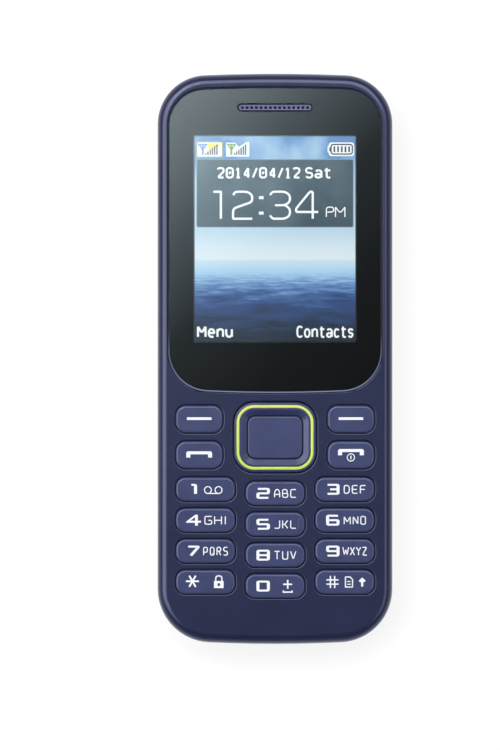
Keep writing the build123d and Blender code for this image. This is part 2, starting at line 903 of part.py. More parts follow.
def make_dome_sheet():
    """Adhesive sheet around the domes."""
    sheet = slab(mat_outline(), board_front_z, board_front_z + dome_sheet_thickness)
    holes = [
        upright(radius + dome_sheet_clearance, board_front_z - cut_overrun, key_top_z, x, y)
        for x, y, radius in dome_places()
    ]
    return sheet - holes


def make_main_board():
    """Printed circuit board with holes for the bosses and cut-outs for sunk sockets."""
    board = slab(body_outline(board_inset), board_back_z, board_front_z)
    low = board_back_z - cut_overrun
    high = board_front_z + cut_overrun
    cuts = [upright(boss_radius + board_slot_clearance, low, high, x, y) for x, y in screw_points()]
    cuts.append(board_slot(jack_x, jack_body_width, jack_body_start(), top_y, low, high))
    cuts.append(board_slot(torch_x, 2 * led_collar_radius, led_back_y(), top_y, low, high))
    cuts.append(board_slot(0, usb_width, bottom_y, usb_mouth_y() + usb_length, low, high))
    return board - cuts


def board_slot(x, width, start_y, end_y, low, high):
    """A cut-out in the board, open at one end."""
    middle = (start_y + end_y) / 2
    length = end_y - start_y + 2 * board_slot_clearance
    return block(width + 2 * board_slot_clearance, length, low, high, x, middle)


def outline_drop(x, crown):
    """How far the crowned end has fallen at a distance from the centre line."""
    return crown - sqrt(crown**2 - x**2)


def jack_mouth_y():
    """Outer face of the headphone socket."""
    return top_y - outline_drop(jack_x, top_crown_radius) - jack_recess


def jack_body_start():
    """Inner end of the headphone socket's body."""
    return jack_body_end() - jack_body_length


def jack_body_end():
    """Outer end of the headphone socket's body, behind the rear lip."""
    return top_y - outline_drop(jack_x, top_crown_radius) - rear_inner_inset - lip_clearance


def make_headphone_jack():
    """Headphone socket: square body, round nose and a blind bore for the plug."""
    middle = (jack_body_start() + jack_body_end()) / 2
    body = Pos(jack_x, middle, jack_axis_height) * Box(jack_body_width, jack_body_length, jack_body_height)
    body += lengthwise(jack_nose_radius, middle, jack_mouth_y(), jack_x, jack_axis_height)
    bore_low = jack_mouth_y() - jack_bore_length
    bore_high = jack_mouth_y() + cut_overrun
    return body - lengthwise(jack_bore_radius, bore_low, bore_high, jack_x, jack_axis_height)


def torch_wall_y():
    """Inner face of the end wall at the torch's outer side."""
    far_x = torch_x + torch_lens_radius + torch_lens_flange
    return top_y - outline_drop(far_x, top_crown_radius) - front_side_wall


def make_torch_lens():
    """Clear torch lens: a plug through the end wall with an inner flange."""
    inner = torch_wall_y() - torch_lens_flange_thickness
    outer = top_y - outline_drop(torch_x, top_crown_radius) - torch_lens_recess
    plug = lengthwise(torch_lens_radius, inner, outer, torch_x, torch_axis_height)
    plug = fillet(plug.faces().sort_by(Axis.Y)[-1].edges(), torch_lens_round)
    flange_radius = torch_lens_radius + torch_lens_flange
    return plug + lengthwise(flange_radius, inner, torch_wall_y() - contact_gap, torch_x, torch_axis_height)


def led_front_y():
    """Front of the torch's light."""
    return torch_wall_y() - torch_lens_flange_thickness - led_gap


def led_back_y():
    """Back of the torch's light."""
    return led_front_y() - led_length


def make_torch_led():
    """Round light with a collar at its back."""
    body = lengthwise(led_radius, led_back_y(), led_front_y(), torch_x, torch_axis_height)
    body = fillet(body.faces().sort_by(Axis.Y)[-1].edges(), led_radius / 2)
    collar_end = led_back_y() + led_collar_length
    return body + lengthwise(led_collar_radius, led_back_y(), collar_end, torch_x, torch_axis_height)


def usb_mouth_y():
    """Outer face of the charging socket."""
    return bottom_y + usb_recess


def make_usb_port():
    """Charging socket: a pressed shell around a tongue, open at the bottom end."""

    def along(sketch, start, end):
        return Pos(0, end, usb_axis_height) * Rot(90, 0, 0) * extrude(sketch, amount=end - start)

    mouth = usb_mouth_y()
    back = mouth + usb_length
    room = rounded(usb_width, usb_height, usb_corner_radius, -usb_wall)
    shell = along(rounded(usb_width, usb_height, usb_corner_radius), mouth, back)
    shell -= along(room, mouth - cut_overrun, back - usb_end_wall)
    return shell + along(Rectangle(usb_tongue_width, usb_tongue_height), mouth + usb_recess, back)


def mic_y():
    """Centre of the microphone capsule."""
    return bottom_y + outline_drop(mic_x, bottom_crown_radius) + front_side_wall + mic_wall_distance


def make_microphone():
    """Round microphone capsule on the board."""
    low = board_front_z + boot_board_gap
    return upright(mic_radius, low, low + mic_height, mic_x, mic_y())


def make_microphone_boot():
    """Rubber boot that leads sound from the end wall to the capsule."""
    low = board_front_z + boot_board_gap
    far_x = abs(mic_x) + boot_width / 2
    wall_y = bottom_y + outline_drop(far_x, bottom_crown_radius) + front_side_wall + boot_board_gap
    back_y = mic_y() + boot_width / 2
    boot = block(boot_width, back_y - wall_y, low, low + mic_height + boot_roof, mic_x, (back_y + wall_y) / 2)
    boot -= upright(mic_radius + boot_fit, low - cut_overrun, low + mic_height + boot_fit, mic_x, mic_y())
    return boot - lengthwise(mic_port_radius, wall_y - cut_overrun, mic_y(), mic_x, mic_port_height())


def make_loudspeaker():
    """Loudspeaker with its cone facing the back."""
    speaker = slab(
        rounded(speaker_length, speaker_width, speaker_corner_radius, 0, 0, speaker_y()),
        speaker_z,
        speaker_z + speaker_height,
    )
    cone_top = speaker_z + speaker_cone_depth
    return speaker - upright(speaker_cone_radius, speaker_z - cut_overrun, cone_top, 0, speaker_y())


def speaker_y():
    """Centre of the loudspeaker, just below the headphone socket."""
    return jack_body_start() - speaker_jack_gap - speaker_width / 2


def speaker_mesh_outline(growth=0):
    """Outline of the loudspeaker's dust mesh."""
    return rounded(speaker_mesh_length, speaker_mesh_width, speaker_mesh_corner, growth, 0, speaker_y())


def make_loudspeaker_mesh():
    """Dust mesh over the sound opening."""
    return slab(speaker_mesh_outline(), rear_floor_z, speaker_z)


def make_receiver():
    """Earpiece receiver under the sound slot, with a raised front rim."""
    high = front_inner_z - receiver_gap
    outline = rounded(receiver_length, receiver_width, receiver_corner_radius, 0, 0, earpiece_y)
    body = slab(outline, board_front_z + receiver_gap, high)
    inner = rounded(receiver_length, receiver_width, receiver_corner_radius, -receiver_rim, 0, earpiece_y)
    return body - slab(inner, high - receiver_rim_height, high + cut_overrun)


def make_vibration_motor():
    """Motor can with a bearing hole for the shaft."""
    end_y = motor_start_y + motor_length
    can = lengthwise(motor_radius, motor_start_y, end_y, motor_x, motor_z)
    return can - lengthwise(
        shaft_radius + shaft_clearance, end_y - shaft_seat - weight_gap, end_y + cut_overrun, motor_x, motor_z
    )


def make_vibration_weight():
    """Off-centre weight on its shaft."""
    can_end = motor_start_y + motor_length
    start = can_end + weight_gap
    end = start + weight_length
    disc = lengthwise(weight_radius, start, end, motor_x, motor_z)
    upper = block(2 * weight_radius, 2 * weight_length, motor_z, motor_z + weight_radius, motor_x, end)
    weight = disc - upper
    weight += lengthwise(weight_hub_radius, start, end, motor_x, motor_z)
    return weight + lengthwise(shaft_radius, can_end - shaft_seat, end, motor_x, motor_z)


def make_battery():
    """Battery pack with rounded long edges."""
    pack = block(battery_width, battery_length, battery_back_z, battery_front_z, 0, battery_centre_y)
    return fillet(pack.edges().filter_by(Axis.Y), battery_edge_radius)


def make_battery_connector():
    """Contact block between the board and the end of the battery bay."""
    wall_y = battery_top_y + battery_clearance + bay_wall + connector_gap
    low = board_back_z - connector_depth
    return block(connector_width, connector_length, low, board_back_z, 0, wall_y + connector_length / 2)


def make_battery_contacts():
    """Three sprung contacts that reach through the bay's wall to the battery."""
    start = battery_top_y + contact_gap
    end = battery_top_y + battery_clearance + bay_wall + connector_gap
    return Compound(
        children=[
            Pos(x, (start + end) / 2, battery_middle_z()) * Box(contact_width, end - start, contact_height)
            for x in contact_places()
        ]
    )


def make_socket(x, y, width, length):
    """Card socket: a pressed shell on the board with a slot for the card."""
    low = board_back_z - socket_height
    slot_low = low + socket_wall
    slot_width = width - 2 * socket_wall
    shell = block(width, length, low, board_back_z, x, y)
    return shell - block(slot_width, length, slot_low, slot_low + card_slot_height, x, y - socket_wall)


def make_shield_cans():
    """Pressed shields over the electronics on the board's back."""
    upper_width = half_width - upper_can_left_room + upper_can_right_x
    upper_x = upper_can_right_x - upper_width / 2
    upper_y = battery_top_y + upper_can_rise + upper_can_length / 2
    lower_y = bottom_y + lower_can_margin
    low = board_back_z - can_height
    cans = (
        block(upper_width, upper_can_length, low, board_back_z, upper_x, upper_y),
        block(lower_can_width, lower_can_length, low, board_back_z, lower_can_x, lower_y),
    )
    return Compound(children=[fillet(bottom_edges(can), can_wall_radius) for can in cans])


def make_display_panel():
    """Liquid crystal panel."""
    return block(panel_width, panel_length, panel_back_z, panel_front_z, 0, panel_centre_y)


def make_light_guide():
    """Backlight sheet behind the panel."""
    width = panel_width - 2 * light_guide_inset
    length = panel_length - 2 * light_guide_inset
    return block(width, length, panel_back_z - light_guide_thickness, panel_back_z, 0, panel_centre_y)


def make_display_frame():
    """Tray that carries the panel, with a gap for the flat cable."""
    inner_width = panel_width + 2 * frame_clearance
    inner_length = panel_length + 2 * frame_clearance
    low = board_front_z + frame_lift
    outside = (inner_width + 2 * frame_wall, inner_length + 2 * frame_wall)
    cable_gap = (flex_width + 2 * frame_clearance, 2 * (frame_wall + frame_clearance + flex_tuck))
    high = panel_front_z
    frame = block(*outside, low, high, 0, panel_centre_y)
    frame -= block(inner_width, inner_length, low + frame_floor, high + cut_overrun, 0, panel_centre_y)
    return frame - block(*cable_gap, low - cut_overrun, panel_back_z, 0, panel_bottom_y)


def make_display_gasket():
    """Foam frame between the panel and the window's seat."""
    size = (panel_width, view_length + 2 * panel_top_border, seat_corner_radius)
    outer = rounded(*size, 0, 0, view_centre_y)
    inner = rounded(*size, -gasket_width, 0, view_centre_y)
    return slab(outer, panel_front_z, front_inner_z) - slab(inner, panel_front_z - cut_overrun, key_top_z)


def make_display_flex():
    """Flat cable that leaves the panel's lower edge and steps down to the board."""
    high = panel_back_z
    low = board_front_z
    end_y = panel_bottom_y - flex_drop_reach
    foot_y = end_y + flex_thickness - flex_foot / 2
    run = flex_tuck_length()
    top_run = block(flex_width, run, high - flex_thickness, high, 0, end_y + run / 2)
    drop = block(flex_width, flex_thickness, low, high, 0, end_y + flex_thickness / 2)
    return top_run + drop + block(flex_width, flex_foot, low, low + flex_thickness, 0, foot_y)


def flex_tuck_length():
    """Length of the flat cable's upper run, from its drop to its end under the panel."""
    return flex_drop_reach + light_guide_inset - frame_clearance


def make_antenna():
    """Folded antenna track on the rear housing's floor."""
    low = rear_floor_z
    high = rear_floor_z + antenna_thickness
    plate = block(antenna_width, antenna_length, low, high, 0, antenna_y)
    inner_width = antenna_width - 2 * antenna_track
    inner_length = antenna_length - 2 * antenna_track
    plate -= block(inner_width, inner_length, low - cut_overrun, high + cut_overrun, 0, antenna_y)
    gap_y = antenna_y + antenna_length / 2
    track_gap = (antenna_track, 2 * antenna_track + cut_overrun)
    return plate - block(*track_gap, low - cut_overrun, high + cut_overrun, 0, gap_y)


def make_screw():
    """Pan-head screw with a cross recess, standing at the origin with its head down."""
    seat = rear_floor_z + column_floor
    head = upright(screw_head_radius, seat - screw_head_height, seat, 0, 0)
    shank = upright(screw_radius, seat, seat + screw_length, 0, 0)
    low = seat - screw_head_height
    drives = [
        block(screw_head_radius, screw_drive_width, low - cut_overrun, low + screw_drive_depth),
        block(screw_drive_width, screw_head_radius, low - cut_overrun, low + screw_drive_depth),
    ]
    return head + shank - drives


def make_screws():
    """The six housing screws, as separate solids."""
    screw = make_screw()
    return Compound(children=[Pos(x, y) * screw for x, y in screw_points()])


def make_parts():
    """Every piece under its own name."""
    parts = {
        "front_housing": make_front_housing(),
        "display_window": make_display_window(),
        "window_ink": make_window_ink(),
        "window_tape": make_window_tape(),
        "earpiece_grille": make_earpiece_grille(),
        "earpiece_mesh": make_earpiece_mesh(),
        "earpiece_receiver": make_receiver(),
        "rear_housing": make_rear_housing(),
        "back_cover": make_back_cover(),
        "key_ok": make_centre_key(),
        "nav_ring": make_nav_ring(),
        "nav_trim": make_nav_trim(),
        "nav_pad": make_nav_pad(),
        "keypad_mat": make_keypad_mat(),
        "key_domes": make_key_domes(),
        "dome_sheet": make_dome_sheet(),
        "main_board": make_main_board(),
        "headphone_jack": make_headphone_jack(),
        "torch_lens": make_torch_lens(),
        "torch_led": make_torch_led(),
        "usb_port": make_usb_port(),
        "microphone": make_microphone(),
        "microphone_boot": make_microphone_boot(),
        "loudspeaker": make_loudspeaker(),
        "loudspeaker_mesh": make_loudspeaker_mesh(),
        "vibration_motor": make_vibration_motor(),
        "vibration_weight": make_vibration_weight(),
        "battery": make_battery(),
        "battery_connector": make_battery_connector(),
        "battery_contacts": make_battery_contacts(),
        "shield_cans": make_shield_cans(),
        "display_panel": make_display_panel(),
        "display_light_guide": make_light_guide(),
        "display_frame": make_display_frame(),
        "display_gasket": make_display_gasket(),
        "display_flex": make_display_flex(),
        "antenna": make_antenna(),
        "housing_screws": make_screws(),
    }
    for name, x, y in number_keys():
        parts[name] = make_number_key(name, x, y)
    for name, x, y in side_keys():
        parts[name] = make_key((side_key_width, side_key_height, side_key_corner_radius), x, y)
    names = ("sim_socket_1", "sim_socket_2", "memory_card_socket")
    for name, (x, y, width, length) in zip(names, sockets()):
        parts[name] = make_socket(x, y, width, length)
    return parts


os.makedirs("parts", exist_ok=True)
for part_name, part_shape in make_parts().items():
    export_step(part_shape, f"parts/{part_name}.step")
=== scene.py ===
from math import cos, radians, sin, tau

import bmesh
import bpy
from mathutils import Matrix, Vector


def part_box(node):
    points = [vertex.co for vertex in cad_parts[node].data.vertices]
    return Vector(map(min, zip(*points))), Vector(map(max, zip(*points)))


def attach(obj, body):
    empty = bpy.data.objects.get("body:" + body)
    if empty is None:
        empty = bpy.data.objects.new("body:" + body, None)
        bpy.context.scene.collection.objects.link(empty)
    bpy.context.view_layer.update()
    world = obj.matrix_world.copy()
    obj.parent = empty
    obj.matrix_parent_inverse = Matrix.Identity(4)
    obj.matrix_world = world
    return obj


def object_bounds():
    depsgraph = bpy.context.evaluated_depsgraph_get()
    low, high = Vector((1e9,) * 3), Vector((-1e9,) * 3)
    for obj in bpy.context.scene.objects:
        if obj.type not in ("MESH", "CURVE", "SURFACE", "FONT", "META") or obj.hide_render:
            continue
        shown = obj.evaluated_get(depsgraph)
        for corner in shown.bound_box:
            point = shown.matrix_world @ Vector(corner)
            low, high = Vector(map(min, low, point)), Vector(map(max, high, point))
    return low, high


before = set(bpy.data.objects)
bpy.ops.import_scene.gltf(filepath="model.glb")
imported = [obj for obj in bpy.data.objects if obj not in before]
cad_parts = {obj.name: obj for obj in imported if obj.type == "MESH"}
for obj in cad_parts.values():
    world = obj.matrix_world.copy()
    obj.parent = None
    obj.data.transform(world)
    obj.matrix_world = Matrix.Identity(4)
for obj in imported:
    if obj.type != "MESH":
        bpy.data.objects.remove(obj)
cad_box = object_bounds()

# Everything below is in millimetres until a mesh is finished, except what says metres
MM = 0.001

# Prints: their thickness, how deep they sink in, and the rise between strokes that cross
PRINT_THICKNESS = 0.03
PRINT_SINK = 0.01
HAIR = 0.003

# A sign's strokes turn on a grid of 8 by 8 steps, and a rounded corner has 4 pieces
GRID = 8
CORNER_STEPS = 4
CIRCLE_EASE = 0.01

# A rounded corner takes just under half of a side at most, and a mitre is at most 1 / 0.4 of its ribbon's width
CORNER_DIVISOR = 2.01
MITRE_LEAST = 0.4

# Figures and letters on the number keys. Here and below, X and Y are a sign's place from the key's middle,
# and a list of corners is measured from that place
DIGIT_X = -2.35
DIGIT_HEIGHT = 2.15
DIGIT_WIDTH = 2.65
NARROW_DIGIT_WIDTH = 1.4
DIGIT_STROKE = 0.38
DIGIT_SPREAD = 1.55
DIGIT_EASE = 0.2
LETTER_X = 2.0
LETTER_Y = -0.02
LETTER_HEIGHT = 1.74
LETTER_STROKE = 0.2
LETTER_GAP = 0.38
SLANTED_GAP = 0.16
LETTER_EASE = 0.35
THREE_LETTERS_WIDTH = 4.4
FOUR_LETTERS_WIDTH = 4.9

# The figure four: a slanting arm that ends in a level bar, and the stem across the bar
FOUR_ARM = (
    (-1.47, -0.32),
    (0.33, 1.07),
    (0.72, 1.07),
    (0.72, 0.93),
    (-0.62, -0.1),
    (1.47, -0.1),
    (1.47, -0.5),
    (-1.47, -0.5),
)
FOUR_STEM = ((0.3, -1.07), (0.86, -1.07), (0.86, 1.07), (0.3, 1.07))

# Voice message loops, and the plus sign over the mark of the space bar
LOOPS_X = 1.55
LOOPS_Y = -0.15
LOOP_RADIUS = 0.68
LOOP_OFFSET = 1.05
LOOP_STROKE = 0.2
PLUS_X = 2.5
PLUS_Y = 0.35
PLUS_REACH = 0.87
PLUS_STROKE = 0.3
SPACE_BAR = ((-0.87, -0.88), (-0.87, -1.2), (0.87, -1.2), (0.87, -0.88))
SPACE_BAR_STROKE = 0.25

# Star, and a padlock whose body is boxes (middle, width, height) round a keyhole
STAR_X = -2.55
STAR_Y = 0.15
STAR_REACH = 1.28
STAR_STROKE = 0.34
PADLOCK_X = 2.65
PADLOCK_BODY = ((-0.6, -0.5, 0.7, 1.4), (0.6, -0.5, 0.7, 1.4), (0.0, -1.0, 0.5, 0.4), (0.0, -0.02, 0.5, 0.44))
PADLOCK_HOOP = ((-0.6, 0.2), (-0.6, 1.2), (0.6, 1.2), (0.6, 0.2))
HOOP_STROKE = 0.24
HOOP_EASE = 0.55

# Hash sign, sheet with a folded corner and two lines on it, and arrow
HASH_X = -2.4
HASH_REACH = 1.2
HASH_SHIFT = 0.42
HASH_STROKE = 0.26
SHEET_X = 0.85
SHEET = ((-0.7, -1.0), (-0.7, 1.0), (0.2, 1.0), (0.7, 0.5), (0.7, -1.0), (-0.7, -1.0))
SHEET_STROKE = 0.22
SHEET_EASE = 0.05
SHEET_LINES_Y = (-0.45, 0.1)
SHEET_LINE_REACH = 0.35
SHEET_LINE_STROKE = 0.18
ARROW_X = 3.45
ARROW_STEM = ((0.0, -0.9), (0.0, 0.45))
ARROW_HEAD = ((-0.54, 0.08), (0.0, 0.6), (0.54, 0.08))
ARROW_STROKE = 0.42

# Bars on the soft keys, and handsets seen from the side: a bar with a short foot at each end
SOFT_BAR = (4.85, 0.52)
SOFT_BAR_CORNER = 0.08
SOFT_BAR_Y = 0.1
CALL_HANDSET_Y = 0.1
END_HANDSET_Y = 0.55
HANDSET = (
    (-2.55, -0.62),
    (-2.55, 0.3),
    (-2.3, 0.6),
    (2.3, 0.6),
    (2.55, 0.3),
    (2.55, -0.62),
    (1.75, -0.62),
    (1.75, 0.02),
    (-1.75, 0.02),
    (-1.75, -0.62),
)
POWER_Y = -0.5
POWER_RADIUS = 0.72
POWER_STROKE = 0.17
POWER_BAR_REACH = 0.35
POWER_BAR_STROKE = 0.22

# Pale top of the grille's bar, with painted shade outside it: how far down it reaches, how far from the bar's
# middle line, and its soft edge
PALE_TOP_DEPTH = 0.08
PALE_TOP_REACH = 0.49
PALE_TOP_EDGE = 0.06

# Depth of the battery's end caps, and the soft edge between cap and foil as a share of its length
CAP_DEPTH = 1.8
CAP_EDGE_SHARE = 0.004

# Thread spacing of the dust cloths
THREAD = 0.2

# The window's bevel: how far its skin stands off, which way its faces lean, and the painted glint at its lower
# end
BEVEL_LIFT = 0.008
BEVEL_LEANS = (0.5, 0.9)
BEVEL_PAINTED_GLINT = 0.6
BEVEL_PAINTED_GLINT_SHARE = 0.2

# The lit picture, inside the panel's dark borders: how far it stands off, the step from one layer on it
# to the next, and how thick each is
PANEL_SIDE_BORDER = 1.3
PANEL_TOP_BORDER = 1.2
PANEL_BOTTOM_BORDER = 4.9
PICTURE_LIFT = 0.02
PICTURE_STRENGTH = 1.12
LAYER = 0.02
FILM = 0.01

# Sea and sky, as shares of the picture's height: where the horizon is, how near to it ripples still shrink,
# how wide they are for their length, how far ripples and clouds shift the colours, and where they fade in
HORIZON_SHARE = 0.398
LEAST_DEPTH_SHARE = 0.012
RIPPLE_WIDTH_SHARE = 0.55
SWELL_SHARE = 0.09
SWELL_FADE_SHARES = (HORIZON_SHARE - 0.02, 0.22)
CLOUD_SIZE = 12.0
CLOUD_SHIFT_SHARES = (-0.38, 0.34)
CLOUD_FADE_SHARES = (0.55, 0.95)

# Clock panel, measured from the picture's edges, and the fine line just inside its edge
CLOCK_TOP = 4.5
CLOCK_HEIGHT = 13.5
CLOCK_SIDE = 0.35
CLOCK_CORNER = 0.4
BORDER_INSET = 0.07
BORDER_STROKE = 0.14
BORDER_FILM = 0.014

# Words on the display, with a dark edge round each stroke
WORD_STROKE = 0.42
WORD_GAP = 0.5
WORD_EASE = 0.6
SHADE_GROWTH = 0.3

# The time: left and right edge of each figure from the picture's left, and their middle from its top
TIME_FIGURES = (("1", 3.45, 5.4), ("2", 7.35, 11.6), ("3", 14.65, 19.05), ("4", 19.8, 24.65))
TIME_Y = -13.6
TIME_HEIGHT = 5.8
TIME_STROKE = 0.46
TIME_EASE = 0.9
COLON_X = 13.15
COLON_DOTS_Y = (-1.55, 1.5)
COLON_DOT = (0.95, 0.62)

# Status signs: their middle from the picture's top, two signal meters from its left, a battery from its right.
# A box or plate is its middle across, its width, its height and its corner
STATUS_Y = -2.6
EDGE_BOX = (2.95, 5.2, 3.15, 0.3)
PLATE_BOX = (2.95, 4.8, 2.75, 0.2)
METER_FLAG = ((2.05, 1.15), (5.15, 1.15), (5.15, 0.85), (3.05, -0.4))
SECOND_PLATE = ((6.2, -1.4), (10.8, -1.4), (10.8, 1.45), (10.2, 1.45), (8.7, 0.5), (8.1, 1.35), (6.2, 1.35))
METERS_X = (0.85, 6.5)
AERIAL_MAST = ((0.75, -1.05), (0.75, 1.05))
AERIAL_MAST_STROKE = 0.4
AERIAL_ARMS = ((0.0, 1.0), (0.75, -0.1), (1.5, 1.0), (0.0, 1.0))
AERIAL_ARMS_STROKE = 0.3
METER_BARS = 6
METER_BARS_X = 1.35
METER_BARS_FOOT = -1.05
METER_BAR_PITCH = 0.44
METER_BAR_WIDTH = 0.28
METER_BAR_HEIGHT = 0.35
METER_BAR_STEP = 0.34
BATTERY_PLATE = (-2.75, 5.0, 2.7, 0.5)
BATTERY_NOSE_PLATE = (-5.2, 0.6, 1.4, 0.15)
BATTERY_Y = 0.05
BATTERY_X = -2.7
BATTERY_CASE = ((-2.1, -0.95), (-2.1, 0.95), (2.1, 0.95), (2.1, -0.95), (-2.1, -0.95))
BATTERY_CASE_STROKE = 0.26
BATTERY_CASE_EASE = 0.5
BATTERY_NOSE = (-4.98, 0.34, 0.8)
BATTERY_BARS = 5
BATTERY_BARS_X = -4.15
BATTERY_BAR_PITCH = 0.73
BATTERY_BAR = (0.34, 1.15)

# The camera sees the front square on. It is framed on a plane a little below the key tops
IMAGE_WIDTH_PX = 500
IMAGE_HEIGHT_PX = 750
PHONE_CENTRE_X_PX = 275.0
PHONE_CENTRE_Y_PX = 358.85
PHONE_WIDTH_PX = 234.7
CAMERA_HEIGHT = 1800.0
FRAMED_DEPTH = 3.0
SENSOR = 36.0
CLIP_NEAR = 0.1
CLIP_FAR = 10.0

# Floor, lamps and the card that the window mirrors, in metres
FLOOR_WIDTH = 6.0
FLOOR_GAP = 0.0001
FLOOR_WHITE = 0.82
LAMP_REACH = 0.9
CARD_SIZE = (0.16, 0.2)
CARD_PLACE = (0.0066, 0.0588, 2.4)
CARD_REACH = 0.12
CARD_STRENGTH = 8.6

# Each pair of figures is a column and a row, from 0 to 8, of a corner of the stroke
SIGNS = {
    "0": "00 08 88 80 00",
    "1": "08 88 80",
    "2": "08 88 84 04 00 80",
    "3": "08 88 80 00, 24 84",
    "5": "88 08 04 84 80 00",
    "6": "88 08 00 80 84 14",
    "7": "08 88 20",
    "8": "04 08 88 84, 04 84, 04 00 80 84",
    "9": "00 80 88 08 04 74",
    "A": "00 05 28 68 85 80, 03 83",
    "B": "04 08 78 74, 04 84, 04 00 80 84",
    "C": "88 08 00 80",
    "D": "00 08 68 86 82 60 00",
    "E": "88 08 00 80, 04 74",
    "F": "88 08 00, 04 74",
    "G": "88 08 00 80 84 44",
    "H": "00 08, 80 88, 04 84",
    "I": "40 48",
    "J": "88 80 00",
    "K": "00 08, 88 34 80, 04 34",
    "L": "08 00 80",
    "M": "00 08 42 88 80",
    "N": "00 08 80 88",
    "O": "00 08 88 80 00",
    "P": "00 08 88 83 13",
    "Q": "00 08 88 80 00, 52 80",
    "R": "00 08 88 84 14, 44 80",
    "S": "88 08 04 84 80 00",
    "T": "08 88, 48 40",
    "U": "08 00 80 88",
    "V": "08 40 88",
    "W": "08 20 46 60 88",
    "X": "00 88, 08 80",
    "Y": "08 44 88, 44 40",
    "Z": "08 88 00 80",
}
CLOCK_SIGNS = {
    "1": "08 78 88 87 80",
    "2": "07 18 68 87 85 03 01 00 10 80",
    "3": "07 18 68 87 85 64 24, 64 83 81 60 10 01",
    "4": "60 68, 68 58 03 02 82",
}
WORD_SIGNS = {
    "0": "20 01 07 28 68 87 81 60 20, 33 55",
    "1": "16 48 40, 10 70",
    "2": "07 28 68 87 85 00 80",
    "4": "60 68, 68 02 82",
    "/": "00 88",
    "C": "87 68 28 06 02 20 60 81",
    "M": "00 08, 08 43 88, 88 80",
    "P": "00 08 68 87 85 64 14",
    "S": "87 68 28 07 05 24 64 83 81 60 20 01",
    "a": "15 26 66 85 80, 73 23 02 01 20 60 72",
    "c": "85 66 26 04 02 20 60 81",
    "e": "13 83 84 66 26 04 02 20 70",
    "n": "00 06, 04 26 66 85 80",
    "o": "20 02 04 26 66 84 82 60 20",
    "s": "85 66 26 05 23 63 82 60 20 01",
    "t": "38 31 40 80, 06 86",
    "u": "06 02 20 60 82, 86 80",
}
SIGN_SHARES = {"I": 0.35, "M": 1.25, "W": 1.25, "1": 0.8, "/": 0.75, " ": 0.3, "t": 0.95, "s": 0.9, "c": 0.9}
KEY_LETTERS = {
    "1": "",
    "2": "ABC",
    "3": "DEF",
    "4": "GHI",
    "5": "JKL",
    "6": "MNO",
    "7": "PQRS",
    "8": "TUV",
    "9": "WXYZ",
    "0": "",
}


def linear(hex_colour):
    """A linear colour from its sRGB hex value."""
    values = [int(hex_colour[i : i + 2], 16) / 255 for i in (1, 3, 5)]
    return (*((v / 12.92 if v <= 0.04045 else ((v + 0.055) / 1.055) ** 2.4) for v in values), 1)


def add_node(tree, kind, inputs=None, stops=(), **settings):
    """Add a node with its settings, its inputs and its ramp's stops.

    An input is a value, a socket, or a node, which stands for its first output.
    """
    node = tree.nodes.new("ShaderNode" + kind)
    for name, value in settings.items():
        setattr(node, name, value)
    for name, value in (inputs or {}).items():
        if isinstance(value, bpy.types.Node):
            value = value.outputs[0]
        if isinstance(value, bpy.types.NodeSocket):
            tree.links.new(value, node.inputs[name])
        else:
            node.inputs[name].default_value = value
    elements = node.color_ramp.elements if stops else ()
    while len(elements) < len(stops):
        elements.new(0.5)
    for element, (place, colour) in zip(elements, stops):
        element.position = place
        element.color = linear(colour)
    return node


def new_material(name, **values):
    """A material with its surface shader. The shader's inputs that are the same all over are set here."""
    material = bpy.data.materials.new(name)
    material.use_nodes = True
    tree = material.node_tree
    tree.nodes.clear()
    shader = add_node(tree, "BsdfPrincipled", {key.replace("_", " "): value for key, value in values.items()})
    add_node(tree, "OutputMaterial", {"Surface": shader})
    return material, tree, shader


def grain(tree, size, detail=3.0, stretch=(1, 1, 1)):
    """A pattern of soft lumps that are about as large as a real size in millimetres."""
    place = add_node(tree, "TexCoord").outputs["Object"]
    scaled = add_node(tree, "Mapping", {"Vector": place, "Scale": [s / (size * MM) for s in stretch]})
    return add_node(tree, "TexNoise", {"Vector": scaled, "Scale": 1.0, "Detail": detail})


def share_along(tree, axis, low, high):
    """How far along an axis a point lies, from 0 at one place to 1 at another, in metres."""
    place = add_node(tree, "TexCoord").outputs["Object"]
    value = add_node(tree, "SeparateXYZ", {"Vector": place}).outputs[axis]
    return add_node(tree, "MapRange", {"Value": value, "From Min": low, "From Max": high})


def finish(tree, shader, shades=None, gloss=None, relief=None, reach=(0.3, 0.7)):
    """Let patterns vary a surface. Each argument is a pattern with what it drives.

    Shades has the colour at the low and at the high end of the pattern's reach, gloss the lowest and
    the highest roughness, and relief its depth in millimetres and its strength.
    """
    if shades:
        pattern, *colours = shades
        ramp = add_node(tree, "ValToRGB", {"Fac": pattern}, tuple(zip(reach, colours)))
        tree.links.new(ramp.outputs[0], shader.inputs["Base Color"])
    if gloss:
        pattern, low, high = gloss
        roughness = add_node(tree, "MapRange", {"Value": pattern, "To Min": low, "To Max": high})
        tree.links.new(roughness.outputs[0], shader.inputs["Roughness"])
    if relief:
        pattern, depth, strength = relief
        bump = add_node(tree, "Bump", {"Height": pattern, "Distance": depth * MM, "Strength": strength})
        tree.links.new(bump.outputs[0], shader.inputs["Normal"])


def painted_polycarbonate():
    """Dark blue paint under clear lacquer: fine orange peel that softens the edge of each highlight."""
    material, tree, shader = new_material(
        "painted_polycarbonate",
        IOR=1.5,
        Specular_Tint=linear("#9CB0FC"),
        Coat_Weight=0.8,
        Coat_Roughness=0.19,
    )
    shades = (grain(tree, 9.0, 2.0), "#1C1F3A", "#212440")
    finish(tree, shader, shades, (grain(tree, 0.8), 0.2, 0.28), (grain(tree, 0.45, 2.0), 0.004, 0.25))
    return material


def sparked_polycarbonate():
    """Back cover: the same blue, moulded in a spark-eroded tool, which leaves a fine even grain."""
    material, tree, shader = new_material("sparked_polycarbonate", IOR=1.5)
    shades = (grain(tree, 0.5, 2.0), "#262A49", "#31355A")
    finish(tree, shader, shades, (grain(tree, 0.35), 0.45, 0.62), (grain(tree, 0.3, 2.0), 0.02, 0.6))
    return material


